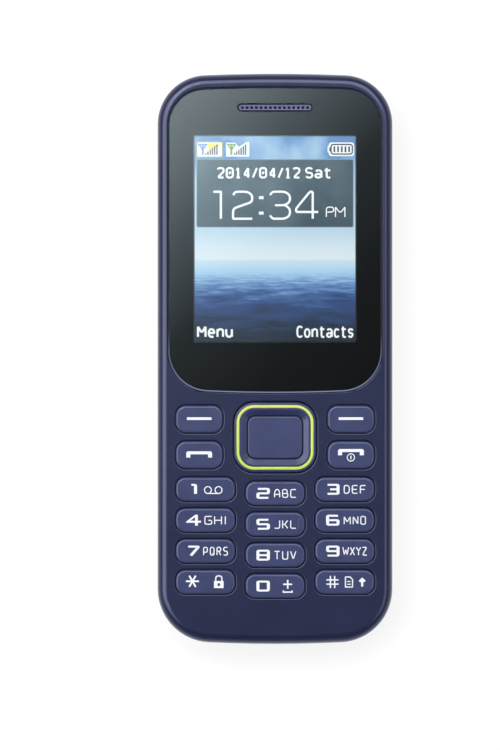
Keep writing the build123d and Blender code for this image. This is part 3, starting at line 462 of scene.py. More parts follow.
def key_polycarbonate():
    """Key caps: slate blue lacquer, a little glossier than the shell and lighter in tone."""
    material, tree, shader = new_material(
        "key_polycarbonate", IOR=1.5, Specular_Tint=linear("#AEB8F4"), Coat_Weight=0.8, Coat_Roughness=0.1
    )
    shades = (grain(tree, 4.0, 2.0), "#3A4062", "#40466A")
    finish(tree, shader, shades, (grain(tree, 0.6), 0.18, 0.26), (grain(tree, 0.4, 2.0), 0.003, 0.2))
    return material


def ring_polycarbonate():
    """Navigation ring: the shell's blue under a softer lacquer, which spreads the light on its slopes."""
    material, tree, shader = new_material(
        "ring_polycarbonate", IOR=1.5, Specular_Tint=linear("#A0B0FC"), Coat_Weight=0.8, Coat_Roughness=0.22
    )
    finish(tree, shader, (grain(tree, 5.0, 2.0), "#282C50", "#30355C"), (grain(tree, 3.0), 0.32, 0.4))
    return material


def lime_trim():
    """Trim ring: tinted moulded plastic with a polished top, yellower towards the top edge."""
    material, tree, shader = new_material("lime_trim", IOR=1.5, Coat_Weight=0.5, Coat_Roughness=0.08)
    low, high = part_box("nav_trim")
    shades = (share_along(tree, "Y", low.y, high.y), "#C4E25A", "#D8E270")
    finish(tree, shader, shades, (grain(tree, 0.5), 0.2, 0.3), reach=(0.1, 0.9))
    return material


def window_acrylic():
    """Display window: hard-coated clear acrylic, polished, a trace duller where it was handled."""
    material, tree, shader = new_material(
        "window_acrylic", Base_Color=linear("#F4F8F8"), IOR=1.49, Transmission_Weight=1.0
    )
    finish(tree, shader, gloss=(grain(tree, 14.0, 1.0), 0.008, 0.014))
    return material


def screen_print(name, dark, light, roughness):
    """Printed ink or film: even, with the faint grain of the mesh or roller that it came through."""
    material, tree, shader = new_material(name, IOR=1.45)
    gloss = (grain(tree, 0.3), roughness, roughness + 0.1)
    finish(tree, shader, (grain(tree, 0.12, 1.0), dark, light), gloss)
    return material


def moulded_plastic(name, dark, light, roughness=0.45, size=0.3):
    """Plain moulded plastic with a fine grain from its tool, whose size is in millimetres."""
    material, tree, shader = new_material(name, IOR=1.5)
    gloss = (grain(tree, size), roughness, roughness + 0.12)
    finish(tree, shader, (grain(tree, size * 6), dark, light), gloss, (grain(tree, size, 2.0), 0.01, 0.4))
    return material


def grille_with_painted_shade():
    """Earpiece grille moulding: violet on the middle of its raised bar's top; the dark blue beyond, at the
    bar's edge and down its walls, is painted shade.
    """
    material, tree, shader = new_material("grille_with_painted_shade", IOR=1.5)
    low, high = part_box("earpiece_grille")
    straight = (high.x - low.x - high.y + low.y) / 2
    depth = share_along(tree, "Z", high.z - PALE_TOP_DEPTH * MM, high.z)
    place = add_node(tree, "TexCoord").outputs["Object"]
    axes = add_node(tree, "SeparateXYZ", {"Vector": place}).outputs
    # The distance from the bar's middle line, which ends where the bar's round ends begin
    outwards = add_node(tree, "Math", {0: axes["X"]}, operation="ABSOLUTE")
    beyond = add_node(tree, "Math", {0: outwards, 1: straight}, operation="SUBTRACT")
    along = add_node(tree, "Math", {0: beyond, 1: 0.0}, operation="MAXIMUM")
    aside = add_node(tree, "Math", {0: axes["Y"], 1: (low.y + high.y) / 2}, operation="SUBTRACT")
    away = add_node(tree, "CombineXYZ", {"X": along, "Y": aside})
    distance = add_node(tree, "VectorMath", {0: away}, operation="LENGTH").outputs["Value"]
    edge = {"From Min": PALE_TOP_REACH * MM, "From Max": (PALE_TOP_REACH - PALE_TOP_EDGE) * MM}
    inside = add_node(tree, "MapRange", {"Value": distance, **edge})
    # Pale where the bar is both high and near its middle; elsewhere the dark colour is painted shade
    pale_top = add_node(tree, "Math", {0: depth, 1: inside}, operation="MULTIPLY")
    finish(tree, shader, (pale_top, "#0E102A", "#6A6E9E"), (grain(tree, 0.2), 0.3, 0.42), reach=(0.0, 0.6))
    return material


def battery_foil():
    """Battery: pale printed foil round the cell, between two black moulded end caps."""
    material, tree, shader = new_material("battery_foil", IOR=1.5)
    low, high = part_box("battery")
    cap = CAP_DEPTH * MM / (high.y - low.y)
    stops = (
        (cap - CAP_EDGE_SHARE, "#111214"),
        (cap, "#C2C4C7"),
        (1 - cap, "#C8CACC"),
        (1 - cap + CAP_EDGE_SHARE, "#111214"),
    )
    ramp = add_node(tree, "ValToRGB", {"Fac": share_along(tree, "Y", low.y, high.y)}, stops)
    tree.links.new(ramp.outputs[0], shader.inputs["Base Color"])
    finish(tree, shader, gloss=(grain(tree, 1.0), 0.3, 0.42), relief=(grain(tree, 3.0), 0.02, 0.3))
    return material


def metal(name, dark, light, roughness, size=1.0, stretch=(1, 1, 1)):
    """Pressed or drawn metal, with the streaks that rolling left in it."""
    material, tree, shader = new_material(name, Metallic=1.0)
    streaks = grain(tree, size, 4.0, stretch)
    finish(tree, shader, (streaks, dark, light), (streaks, roughness, roughness + 0.15))
    return material


def silicone_rubber():
    """Keypad mat: translucent silicone, soft sheen, with dust caught on its surface."""
    material, tree, shader = new_material(
        "silicone_rubber", IOR=1.41, Subsurface_Weight=0.3, Subsurface_Scale=0.6 * MM, Sheen_Weight=0.2
    )
    finish(tree, shader, (grain(tree, 1.5), "#8E9398", "#A6ABB0"), (grain(tree, 0.4), 0.5, 0.68))
    return material


def woven_cloth():
    """Dust cloth: a plain weave of fine polyester thread."""
    material, tree, shader = new_material("woven_cloth", Sheen_Weight=0.1)
    place = add_node(tree, "TexCoord").outputs["Object"]
    # A wave texture of scale 1 repeats every tau / 20
    inputs = {"Vector": place, "Scale": tau / (THREAD * MM) / 20, "Distortion": 0.2}
    warp, weft = (add_node(tree, "TexWave", inputs, bands_direction=way).outputs["Fac"] for way in ("X", "Y"))
    weave = add_node(tree, "Math", {0: warp, 1: weft}, operation="MULTIPLY")
    shades = (weave, "#040406", "#121214")
    finish(tree, shader, shades, (weave, 0.7, 0.9), (weave, 0.05, 0.8), (0.1, 0.9))
    return material


def board_laminate():
    """Circuit board: green solder mask over copper tracks that show as lighter, raised lines."""
    material, tree, shader = new_material("board_laminate", IOR=1.5, Coat_Weight=0.5, Coat_Roughness=0.15)
    place = add_node(tree, "TexCoord").outputs["Object"]
    inputs = {
        "Vector": place,
        "Scale": 1 / (4.0 * MM),
        "Mortar Size": 0.03,
        "Brick Width": 0.9,
        "Row Height": 0.3,
        "Bias": 0.0,
    }
    tracks = add_node(tree, "TexBrick", inputs, offset=0.37).outputs["Fac"]
    shades = (tracks, "#0E4A30", "#1F7048")
    finish(tree, shader, shades, (grain(tree, 0.5), 0.3, 0.42), (tracks, 0.03, 0.6), (0.0, 1.0))
    return material


def clear_moulding():
    """Torch lens: clear moulded plastic, slightly frosted so that the light spreads."""
    material, tree, shader = new_material(
        "clear_moulding", Base_Color=linear("#F2F5F7"), IOR=1.49, Transmission_Weight=0.9
    )
    finish(tree, shader, gloss=(grain(tree, 0.4), 0.12, 0.25))
    return material


def painted_bevel_glint():
    """The window's bevel with a painted glint: a pale blue glow, strongest at the lower end, where the polished
    bevel catches the light.
    """
    material, tree, shader = new_material(
        "painted_bevel_glint", Base_Color=linear("#14161A"), IOR=1.49, Emission_Color=linear("#A4B0D8")
    )
    low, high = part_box("display_window")
    # Painted glint: the glow fades in from partway up the window to full at its lower end
    lit = share_along(tree, "Y", low.y + BEVEL_PAINTED_GLINT_SHARE * (high.y - low.y), low.y)
    glow = add_node(tree, "Math", {0: lit, 1: BEVEL_PAINTED_GLINT}, operation="MULTIPLY")
    tree.links.new(glow.outputs[0], shader.inputs["Emission Strength"])
    finish(tree, shader, gloss=(grain(tree, 0.5), 0.15, 0.3))
    return material


def picture_light(name, colour="#000000", pattern=None):
    """A layer of the lit picture. It glows in one colour or in a pattern, and is otherwise dull black."""
    material, tree, shader = new_material(
        name,
        Base_Color=linear("#000000"),
        Specular_IOR_Level=0.0,
        Emission_Color=linear(colour),
        Emission_Strength=PICTURE_STRENGTH,
    )
    finish(tree, shader, gloss=(grain(tree, 0.3), 0.55, 0.65))
    if pattern:
        tree.links.new(pattern(tree).outputs[0], shader.inputs["Emission Color"])
    return material


def picture_edges():
    """Left, lower, right and upper edge of the lit picture."""
    low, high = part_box("display_panel")
    return (
        low.x / MM + PANEL_SIDE_BORDER,
        low.y / MM + PANEL_BOTTOM_BORDER,
        high.x / MM - PANEL_SIDE_BORDER,
        high.y / MM - PANEL_TOP_BORDER,
    )


def waves(tree, height):
    """Ripples on water seen from above it: they shrink and crowd together towards the horizon."""
    left, _, right, _ = picture_edges()
    across = share_along(tree, "X", left * MM, right * MM)
    across = add_node(tree, "Math", {0: across, 1: 0.5}, operation="SUBTRACT")
    below = add_node(tree, "Math", {0: HORIZON_SHARE, 1: height}, operation="SUBTRACT")
    below = add_node(tree, "Math", {0: below, 1: LEAST_DEPTH_SHARE}, operation="MAXIMUM")
    far = add_node(tree, "Math", {0: 1.0, 1: below}, operation="DIVIDE")
    widened = add_node(tree, "Math", {0: far, 1: RIPPLE_WIDTH_SHARE}, operation="MULTIPLY")
    sideways = add_node(tree, "Math", {0: across, 1: widened}, operation="MULTIPLY")
    place = add_node(tree, "CombineXYZ", {"X": sideways, "Y": far})
    inputs = {"Vector": place, "Scale": 1.3, "Detail": 6.0, "Roughness": 0.68, "Distortion": 0.4}
    return add_node(tree, "TexNoise", inputs)


def sea_and_sky(tree):
    """Pale sky over open water, with soft clouds above and ripples that grow towards the viewer."""
    _, low, _, high = picture_edges()
    height = share_along(tree, "Y", low * MM, high * MM)
    # Ripples and clouds each shift the place at which the run of colours is read
    swing = {"From Min": 0.25, "From Max": 0.75, "To Min": -SWELL_SHARE, "To Max": SWELL_SHARE}
    ripple = add_node(tree, "MapRange", {"Value": waves(tree, height), **swing})
    far, close = SWELL_FADE_SHARES
    near = add_node(tree, "MapRange", {"Value": height, "From Min": far, "From Max": close})
    swell = add_node(tree, "Math", {0: ripple, 1: near}, operation="MULTIPLY")
    down, up = CLOUD_SHIFT_SHARES
    swing = {"From Min": 0.3, "From Max": 0.7, "To Min": down, "To Max": up}
    cloud = add_node(tree, "MapRange", {"Value": grain(tree, CLOUD_SIZE, 4.0, (1.0, 0.8, 1)), **swing})
    start, full = CLOUD_FADE_SHARES
    aloft = add_node(tree, "MapRange", {"Value": height, "From Min": start, "From Max": full})
    drift = add_node(tree, "Math", {0: cloud, 1: aloft}, operation="MULTIPLY")
    shift = add_node(tree, "Math", {0: swell, 1: drift}, operation="ADD")
    moved = add_node(tree, "Math", {0: height, 1: shift}, operation="ADD")
    stops = (
        (0.0, "#1E2836"),
        (0.06, "#223044"),
        (0.12, "#2C4068"),
        (0.18, "#314A7C"),
        (0.24, "#4668A0"),
        (0.29, "#749DCC"),
        (0.33, "#A4CAE8"),
        (0.365, "#BAD8EC"),
        (0.394, "#CADFEA"),
        (0.402, "#DCE8EE"),
        (0.46, "#D4E3EC"),
        (0.54, "#BCD5E4"),
        (0.75, "#A0C0DC"),
        (0.9, "#7EA6D2"),
        (1.0, "#5C88BE"),
    )
    return add_node(tree, "ValToRGB", {"Fac": moved}, stops)


def clock_shade(tree):
    """Smoked panel behind the clock. The clouds behind it show through faintly."""
    stops = ((0.3, "#3A4C56"), (0.5, "#42545F"), (0.7, "#566872"))
    return add_node(tree, "ValToRGB", {"Fac": grain(tree, 9.0)}, stops)


def eased(points, radius):
    """The same line with each inner corner rounded, and whether it is closed."""
    closed = points[0] == points[-1]
    corners = points[:-1] if closed else points
    line = []
    for i, corner in enumerate(corners):
        if not radius or (not closed and i in (0, len(corners) - 1)):
            line.append(corner)
            continue
        back = corners[i - 1] - corner
        on = corners[(i + 1) % len(corners)] - corner
        reach = min(radius, back.length / CORNER_DIVISOR, on.length / CORNER_DIVISOR)
        start, end = corner + back.normalized() * reach, corner + on.normalized() * reach
        for n in range(CORNER_STEPS + 1):
            t = n / CORNER_STEPS
            line.append(start * (1 - t) ** 2 + corner * 2 * t * (1 - t) + end * t**2)
    return line, closed


def mitre(line, i, closed):
    """The sideways direction at a point of a line, longer where the line turns."""
    count = len(line)
    before = line[i] - line[i - 1] if i or closed else line[1] - line[0]
    after = line[(i + 1) % count] - line[i] if i < count - 1 or closed else before
    side = Vector((-before.y, before.x)).normalized() + Vector((-after.y, after.x)).normalized()
    side.normalize()
    return side / max(side.dot(Vector((-before.y, before.x)).normalized()), MITRE_LEAST)


def lay_ribbon(bm, x, y, corners, width, radius=0.0, rise=0.0):
    """Lay a flat ribbon of even width along corners that are measured from a point."""
    line, closed = eased([Vector((x + a, y + b)) for a, b in corners], radius)
    first = previous = None
    for i, point in enumerate(line):
        offset = mitre(line, i, closed) * width / 2
        pair = [bm.verts.new((*(point + offset), rise)), bm.verts.new((*(point - offset), rise))]
        if previous:
            bm.faces.new((previous[0], previous[1], pair[1], pair[0]))
        first = first or pair
        previous = pair
    if closed:
        bm.faces.new((previous[0], previous[1], first[1], first[0]))


def lay_circle(bm, x, y, radius, width, sides=40):
    """Lay a flat ring round a point."""
    turns = [tau * n / sides for n in range(sides)]
    corners = [(radius * cos(turn), radius * sin(turn)) for turn in turns]
    lay_ribbon(bm, x, y, [*corners, corners[0]], width, CIRCLE_EASE)


def lay_outline(bm, x, y, corners, rise=0.0):
    """Lay a flat face whose corners are measured from a point."""
    bm.faces.new([bm.verts.new((x + a, y + b, rise)) for a, b in corners])


def lay_box(bm, x, y, width, height, corner=0.0):
    """Lay a flat rectangle round a point, with rounded corners if asked."""
    place = Matrix.Translation((x, y, 0)) @ Matrix.Diagonal((width, height, 1, 1))
    made = bmesh.new()
    bmesh.ops.create_grid(made, x_segments=1, y_segments=1, size=0.5, matrix=place)
    if corner:
        bmesh.ops.bevel(
            made,
            geom=made.verts[:],
            offset=corner,
            offset_type="OFFSET",
            affect="VERTICES",
            segments=6,
            profile=0.5,
            material=-1,
        )
    join(bm, made, Matrix.Identity(4))


def join(bm, made, place):
    """Move a small mesh to its place and add it to a larger one."""
    bmesh.ops.transform(made, matrix=place, verts=made.verts)
    mesh = bpy.data.meshes.new("joined")
    made.to_mesh(mesh)
    made.free()
    bm.from_mesh(mesh)
    bpy.data.meshes.remove(mesh)


def lay_sign(bm, strokes, x, y, width, height, stroke, ease, spread=1.0):
    """Lay one sign round a point. Spread makes upright strokes wider than level ones.

    Each further stroke lies a hair higher, so that no two tops share a plane where they cross.
    """
    step = Vector(((width / spread - stroke) / GRID, (height - stroke) / GRID))
    made = bmesh.new()
    for layer, part in enumerate(strokes.split(", ")):
        corners = [(int(c[0]) - GRID / 2, int(c[1]) - GRID / 2) for c in part.split()]
        corners = [(column * step.x, row * step.y) for column, row in corners]
        lay_ribbon(made, 0, 0, corners, stroke, ease, layer * HAIR)
    join(bm, made, Matrix.Translation((x, y, 0)) @ Matrix.Diagonal((spread, 1, 1, 1)))


def sign_row(word, left, width, gap):
    """Each sign of a word with its middle and its width, so that the word fills a width."""
    shares = [SIGN_SHARES.get(sign, 1.0) for sign in word]
    unit = (width - gap * (len(word) - 1)) / sum(shares)
    for sign, share in zip(word, shares):
        yield sign, left + unit * share / 2, unit * share
        left += unit * share + gap


def lay_word(bm, word, left, foot, width, height, stroke, growth=0.0):
    """Lay a word on the display, its foot at a height. Growth thickens it on all sides."""
    for sign, middle, wide in sign_row(word, left, width, WORD_GAP * stroke):
        if sign in WORD_SIGNS:
            size = (wide + growth, height + growth)
            lay_sign(bm, WORD_SIGNS[sign], middle, foot + height / 2, *size, stroke + growth, WORD_EASE)


def lay_letters(bm, letters, x, y):
    """Lay a group of small letters on a key in an even row."""
    width = FOUR_LETTERS_WIDTH if len(letters) > 3 else THREE_LETTERS_WIDTH
    gap = SLANTED_GAP if "X" in letters else LETTER_GAP
    for letter, middle, wide in sign_row(letters, x - width / 2, width, gap):
        lay_sign(bm, SIGNS[letter], middle, y, wide, LETTER_HEIGHT, LETTER_STROKE, LETTER_EASE)


def finish_print(bm, name, body, material, z, thickness=PRINT_THICKNESS):
    """Give a flat print its thickness, set it at its height and let it ride."""
    bmesh.ops.recalc_face_normals(bm, faces=bm.faces)
    for face in bm.faces:
        if face.normal.z < 0:
            face.normal_flip()
    base = bm.faces[:]
    grown = bmesh.ops.extrude_face_region(bm, geom=base, use_keep_orig=True)["geom"]
    top = [v for v in grown if isinstance(v, bmesh.types.BMVert)]
    bmesh.ops.translate(bm, vec=(0, 0, thickness), verts=top)
    bmesh.ops.reverse_faces(bm, faces=base)
    bmesh.ops.transform(bm, matrix=Matrix.Scale(MM, 4) @ Matrix.Translation((0, 0, z)), verts=bm.verts)
    return finish_piece(bm, name, body, material)


def finish_piece(bm, name, body, material):
    """Turn a bmesh in metres into a piece that rides on a body."""
    mesh = bpy.data.meshes.new(name)
    bm.to_mesh(mesh)
    bm.free()
    mesh.materials.append(material)
    piece = bpy.data.objects.new(name, mesh)
    bpy.context.collection.objects.link(piece)
    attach(piece, body)
    return piece


def start_key_print(node):
    """An empty print, and the middle of the key that it goes on."""
    low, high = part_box(node)
    return bmesh.new(), (low.x + high.x) / 2 / MM, (low.y + high.y) / 2 / MM


def finish_key_print(bm, node, ink):
    """Set a print on the top of its key. All printed keys are as high as the first."""
    finish_print(bm, "print_" + node, node, ink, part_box("key_1")[1].z / MM - PRINT_SINK)


def add_number_prints(ink):
    """Figures and letters on the number keys."""
    for digit, letters in KEY_LETTERS.items():
        bm, x, y = start_key_print("key_" + digit)
        width = NARROW_DIGIT_WIDTH if digit == "1" else DIGIT_WIDTH
        if digit == "4":
            lay_outline(bm, x + DIGIT_X, y, FOUR_ARM)
            lay_outline(bm, x + DIGIT_X, y, FOUR_STEM, HAIR)
        else:
            size = (width, DIGIT_HEIGHT)
            lay_sign(bm, SIGNS[digit], x + DIGIT_X, y, *size, DIGIT_STROKE, DIGIT_EASE, DIGIT_SPREAD)
        if letters:
            lay_letters(bm, letters, x + LETTER_X, y + LETTER_Y)
        if digit == "1":
            lay_message_loops(bm, x + LOOPS_X, y + LOOPS_Y)
        if digit == "0":
            lay_plus_sign(bm, x + PLUS_X, y)
        finish_key_print(bm, "key_" + digit, ink)


def lay_message_loops(bm, x, y):
    """Two loops on a line, the sign for voice messages."""
    for side in (-1, 1):
        lay_circle(bm, x + side * LOOP_OFFSET, y, LOOP_RADIUS, LOOP_STROKE)
    line = ((-LOOP_OFFSET, -LOOP_RADIUS), (LOOP_OFFSET, -LOOP_RADIUS))
    lay_ribbon(bm, x, y, line, LOOP_STROKE, rise=HAIR)


def lay_plus_sign(bm, x, y):
    """A plus sign over the mark of the space bar."""
    lay_ribbon(bm, x, y + PLUS_Y, ((-PLUS_REACH, 0), (PLUS_REACH, 0)), PLUS_STROKE)
    lay_ribbon(bm, x, y + PLUS_Y, ((0, -PLUS_REACH), (0, PLUS_REACH)), PLUS_STROKE, rise=HAIR)
    lay_ribbon(bm, x, y, SPACE_BAR, SPACE_BAR_STROKE)


def add_star_print(ink):
    """A six-armed star and a padlock."""
    bm, x, y = start_key_print("key_star")
    for layer, turn in enumerate((0, 60, 120)):
        arm = Vector((cos(radians(turn)), sin(radians(turn)))) * STAR_REACH
        lay_ribbon(bm, x + STAR_X, y + STAR_Y, (-arm, arm), STAR_STROKE, rise=layer * HAIR)
    for across, up, width, height in PADLOCK_BODY:
        lay_box(bm, x + PADLOCK_X + across, y + up, width, height)
    lay_ribbon(bm, x + PADLOCK_X, y, PADLOCK_HOOP, HOOP_STROKE, HOOP_EASE, HAIR)
    finish_key_print(bm, "key_star", ink)


def add_hash_print(ink):
    """A hash sign, a sheet with a folded corner and an arrow."""
    bm, x, y = start_key_print("key_hash")
    for shift in (-HASH_SHIFT, HASH_SHIFT):
        upright = ((shift, -HASH_REACH), (shift, HASH_REACH))
        level = ((-HASH_REACH, shift), (HASH_REACH, shift))
        lay_ribbon(bm, x + HASH_X, y, upright, HASH_STROKE)
        lay_ribbon(bm, x + HASH_X, y, level, HASH_STROKE, rise=HAIR)
    lay_ribbon(bm, x + SHEET_X, y, SHEET, SHEET_STROKE, SHEET_EASE)
    for up in SHEET_LINES_Y:
        line = ((-SHEET_LINE_REACH, up), (SHEET_LINE_REACH, up))
        lay_ribbon(bm, x + SHEET_X, y, line, SHEET_LINE_STROKE)
    lay_ribbon(bm, x + ARROW_X, y, ARROW_STEM, ARROW_STROKE, rise=HAIR)
    lay_ribbon(bm, x + ARROW_X, y, ARROW_HEAD, ARROW_STROKE)
    finish_key_print(bm, "key_hash", ink)


def add_side_prints(ink):
    """Bars on the soft keys, and the two handset signs."""
    for node in ("key_soft_left", "key_soft_right"):
        bm, x, y = start_key_print(node)
        lay_box(bm, x, y + SOFT_BAR_Y, *SOFT_BAR, SOFT_BAR_CORNER)
        finish_key_print(bm, node, ink)
    for node, up in (("key_call", CALL_HANDSET_Y), ("key_end", END_HANDSET_Y)):
        bm, x, y = start_key_print(node)
        lay_outline(bm, x, y + up, HANDSET)
        if node == "key_end":
            lay_circle(bm, x, y + POWER_Y, POWER_RADIUS, POWER_STROKE)
            line = ((0, -POWER_BAR_REACH), (0, POWER_BAR_REACH))
            lay_ribbon(bm, x, y + POWER_Y, line, POWER_BAR_STROKE)
        finish_key_print(bm, node, ink)


def add_bevel():
    """A thin skin on the window's bevelled edge, which carries a painted glint that shows as a pale line."""
    bm = bmesh.new()
    bm.from_mesh(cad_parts["display_window"].data)
    least, most = BEVEL_LEANS
    others = [face for face in bm.faces if not least < face.normal.z < most]
    bmesh.ops.delete(bm, geom=others, context="FACES")
    for vert in bm.verts:
        vert.co += vert.normal * BEVEL_LIFT * MM
    finish_piece(bm, "window_bevel_painted_glint", "phone_body", painted_bevel_glint())


def add_picture():
    """The lit picture: sky over water, a clock panel, signal and battery signs and two key labels."""
    left, low, right, high = picture_edges()
    middle, ground = (left + right) / 2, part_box("display_panel")[1].z / MM + PICTURE_LIFT
    body = "phone_body"
    bm = bmesh.new()
    lay_box(bm, middle, (low + high) / 2, right - left, high - low)
    light = picture_light("lit_picture", pattern=sea_and_sky)
    scene = finish_print(bm, "display_picture", body, light, ground, FILM)
    level = ground + LAYER
    bm = bmesh.new()
    width = right - left - 2 * CLOCK_SIDE
    lay_box(bm, middle, high - CLOCK_TOP - CLOCK_HEIGHT / 2, width, CLOCK_HEIGHT, CLOCK_CORNER)
    light = picture_light("lit_clock_panel", pattern=clock_shade)
    finish_print(bm, "clock_panel", body, light, level, FILM)
    bm = bmesh.new()
    side, head = width / 2 - BORDER_INSET, -CLOCK_TOP - BORDER_INSET
    foot = BORDER_INSET - CLOCK_TOP - CLOCK_HEIGHT
    corners = ((-side, foot), (-side, head), (side, head), (side, foot), (-side, foot))
    lay_ribbon(bm, middle, high, corners, BORDER_STROKE, CLOCK_CORNER)
    finish_print(bm, "clock_border", body, picture_light("lit_border", "#8497A2"), level, BORDER_FILM)
    # Left edge, foot, width, height and stroke of each word
    words = (
        ("2014/04/12 Sat", left + 4.3, high - 8.35, 22.7, 2.3, WORD_STROKE),
        ("PM", left + 25.9, high - 16.05, 3.9, 2.2, 0.24),
        ("Menu", left + 0.45, low + 0.7, 7.1, 2.4, WORD_STROKE),
        ("Contacts", right - 11.65, low + 0.7, 11.3, 2.4, 0.36),
    )
    prints, shades = bmesh.new(), bmesh.new()
    for bm, growth in ((prints, 0.0), (shades, SHADE_GROWTH)):
        for word in words:
            lay_word(bm, *word, growth)
        lay_time(bm, left, high + TIME_Y, growth)
    finish_print(shades, "display_shades", body, picture_light("lit_shade", "#33414F"), level + LAYER, FILM)
    level += 2 * LAYER
    white = picture_light("lit_white", "#F6F9FB")
    finish_print(prints, "display_words", body, white, level, FILM)
    add_status_signs(left, right, high + STATUS_Y, level, white)


def lay_time(bm, left, y, growth):
    """The time, in tall thin figures."""
    for sign, start, end in TIME_FIGURES:
        size = (end - start + growth, TIME_HEIGHT + growth)
        lay_sign(bm, CLOCK_SIGNS[sign], left + (start + end) / 2, y, *size, TIME_STROKE + growth, TIME_EASE)
    width, height = COLON_DOT
    for up in COLON_DOTS_Y:
        lay_box(bm, left + COLON_X, y + up, width + growth, height + growth)


def add_status_signs(left, right, y, level, white):
    """Two signal meters and a battery meter along the top of the picture."""
    lights = {
        "status_edges": picture_light("lit_edge", "#B4B060"),
        "status_plates": white,
        "status_yellow": picture_light("lit_yellow", "#F0EE5A"),
        "status_blue": picture_light("lit_blue", "#7E8CD0"),
        "status_green": picture_light("lit_green", "#7E9A3A"),
        "status_bars": picture_light("lit_dark", "#42364A"),
    }
    signs = {name: bmesh.new() for name in lights}
    plates, bars = signs["status_plates"], signs["status_bars"]
    for bm, (across, *size) in ((signs["status_edges"], EDGE_BOX), (plates, PLATE_BOX)):
        lay_box(bm, left + across, y, *size)
    lay_outline(signs["status_yellow"], left, y, METER_FLAG)
    lay_outline(plates, left, y, SECOND_PLATE)
    for across, aerial in zip(METERS_X, (signs["status_blue"], signs["status_green"])):
        start = left + across
        lay_ribbon(aerial, start, y, AERIAL_MAST, AERIAL_MAST_STROKE)
        lay_ribbon(aerial, start, y, AERIAL_ARMS, AERIAL_ARMS_STROKE)
        for n in range(METER_BARS):
            tall = METER_BAR_HEIGHT + METER_BAR_STEP * n
            place = (start + METER_BARS_X + METER_BAR_PITCH * n, y + METER_BARS_FOOT + tall / 2)
            lay_box(bars, *place, METER_BAR_WIDTH, tall)
    y += BATTERY_Y
    for bm, (across, *size) in ((plates, BATTERY_PLATE), (plates, BATTERY_NOSE_PLATE)):
        lay_box(bm, right + across, y, *size)
    lay_ribbon(bars, right + BATTERY_X, y, BATTERY_CASE, BATTERY_CASE_STROKE, BATTERY_CASE_EASE)
    across, *size = BATTERY_NOSE
    lay_box(bars, right + across, y, *size)
    for n in range(BATTERY_BARS):
        lay_box(bars, right + BATTERY_BARS_X + BATTERY_BAR_PITCH * n, y, *BATTERY_BAR)
    for lift, (name, bm) in enumerate(signs.items()):
        finish_print(bm, name, "phone_body", lights[name], level + lift * LAYER / 2, FILM)


def dress_nodes():
    """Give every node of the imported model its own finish."""
    shell = painted_polycarbonate()
    key = key_polycarbonate()
    silicone = silicone_rubber()
    cloth = woven_cloth()
    black = moulded_plastic("black_moulding", "#0C0C0E", "#17171A", 0.4)
    capsule = metal("drawn_steel_can", "#9A9CA0", "#B5B7BA", 0.25, 2.0, (1, 0.1, 1))
    plated = metal("tin_plated_steel", "#A8AAAC", "#C2C4C5", 0.28, 3.0, (0.1, 1, 1))
    gold = metal("gold_plated_bronze", "#C79A48", "#E0B964", 0.2, 0.6)
    finishes = {
        "front_housing": shell,
        "display_window": window_acrylic(),
        "window_ink": screen_print("black_ink", "#08090A", "#0D0E0F", 0.35),
        "window_tape": moulded_plastic("foam_tape", "#0F0F10", "#1A1A1B", 0.8, 0.2),
        "earpiece_grille": grille_with_painted_shade(),
        "earpiece_mesh": cloth,
        "earpiece_receiver": black,
        "rear_housing": moulded_plastic("chassis_moulding", "#101113", "#1C1D20", 0.5, 0.4),
        "back_cover": sparked_polycarbonate(),
        "key_ok": key,
        "nav_ring": ring_polycarbonate(),
        "nav_trim": lime_trim(),
        "nav_pad": silicone,
        "keypad_mat": silicone,
        "key_domes": metal("spring_steel_dome", "#B4B2AC", "#D0CEC8", 0.18, 0.8),
        "dome_sheet": screen_print("polyester_film", "#C9CAC4", "#DADBD6", 0.3),
        "main_board": board_laminate(),
        "headphone_jack": black,
        "torch_lens": clear_moulding(),
        "torch_led": moulded_plastic("diode_epoxy", "#E3DFC4", "#F2EFDC", 0.25, 0.5),
        "usb_port": plated,
        "microphone": capsule,
        "microphone_boot": moulded_plastic("black_rubber", "#0E0E0E", "#191919", 0.7, 0.3),
        "loudspeaker": black,
        "loudspeaker_mesh": cloth,
        "vibration_motor": capsule,
        "vibration_weight": metal("sintered_tungsten", "#5D5D60", "#77777A", 0.45, 0.2),
        "battery": battery_foil(),
        "battery_connector": black,
        "battery_contacts": gold,
        "shield_cans": plated,
        "display_panel": screen_print("dark_panel_glass", "#0B0D10", "#101317", 0.15),
        "display_light_guide": moulded_plastic("light_guide_acrylic", "#E2E4E5", "#F0F1F2", 0.3, 0.5),
        "display_frame": moulded_plastic("white_frame_moulding", "#D8D9D7", "#E6E7E5", 0.45),
        "display_gasket": moulded_plastic("foam_gasket", "#101011", "#1C1C1E", 0.85, 0.25),
        "display_flex": screen_print("amber_polyimide", "#B4701C", "#C98430", 0.25),
        "antenna": gold,
        "housing_screws": metal("black_zinc_steel", "#2A2A2C", "#3D3D40", 0.35, 0.4),
        "sim_socket_1": plated,
        "sim_socket_2": plated,
        "memory_card_socket": plated,
    }
    for name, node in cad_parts.items():
        material = finishes.get(name, key)
        node.data.materials.clear()
        node.data.materials.append(material)


def white_to_eye(tree, shader, strength):
    """Lift a stage material to white where the camera, gloss and glass see it."""
    rays = add_node(tree, "LightPath").outputs
    seen = rays["Is Camera Ray"]
    for other in ("Is Glossy Ray", "Is Transmission Ray"):
        seen = add_node(tree, "Math", {0: seen, 1: rays[other]}, operation="MAXIMUM")
    lift = add_node(tree, "Math", {0: seen, 1: strength}, operation="MULTIPLY")
    tree.links.new(lift.outputs[0], shader.inputs["Emission Strength"])


def add_sheet(name, width, length, place, material):
    """A flat sheet at a place, in metres."""
    mesh = bpy.data.meshes.new(name)
    bm = bmesh.new()
    size = Matrix.Diagonal((width, length, 1, 1))
    bmesh.ops.create_grid(bm, x_segments=1, y_segments=1, size=0.5, matrix=size)
    bm.to_mesh(mesh)
    bm.free()
    mesh.materials.append(material)
    sheet = bpy.data.objects.new(name, mesh)
    sheet.location = place
    bpy.context.collection.objects.link(sheet)
    return sheet


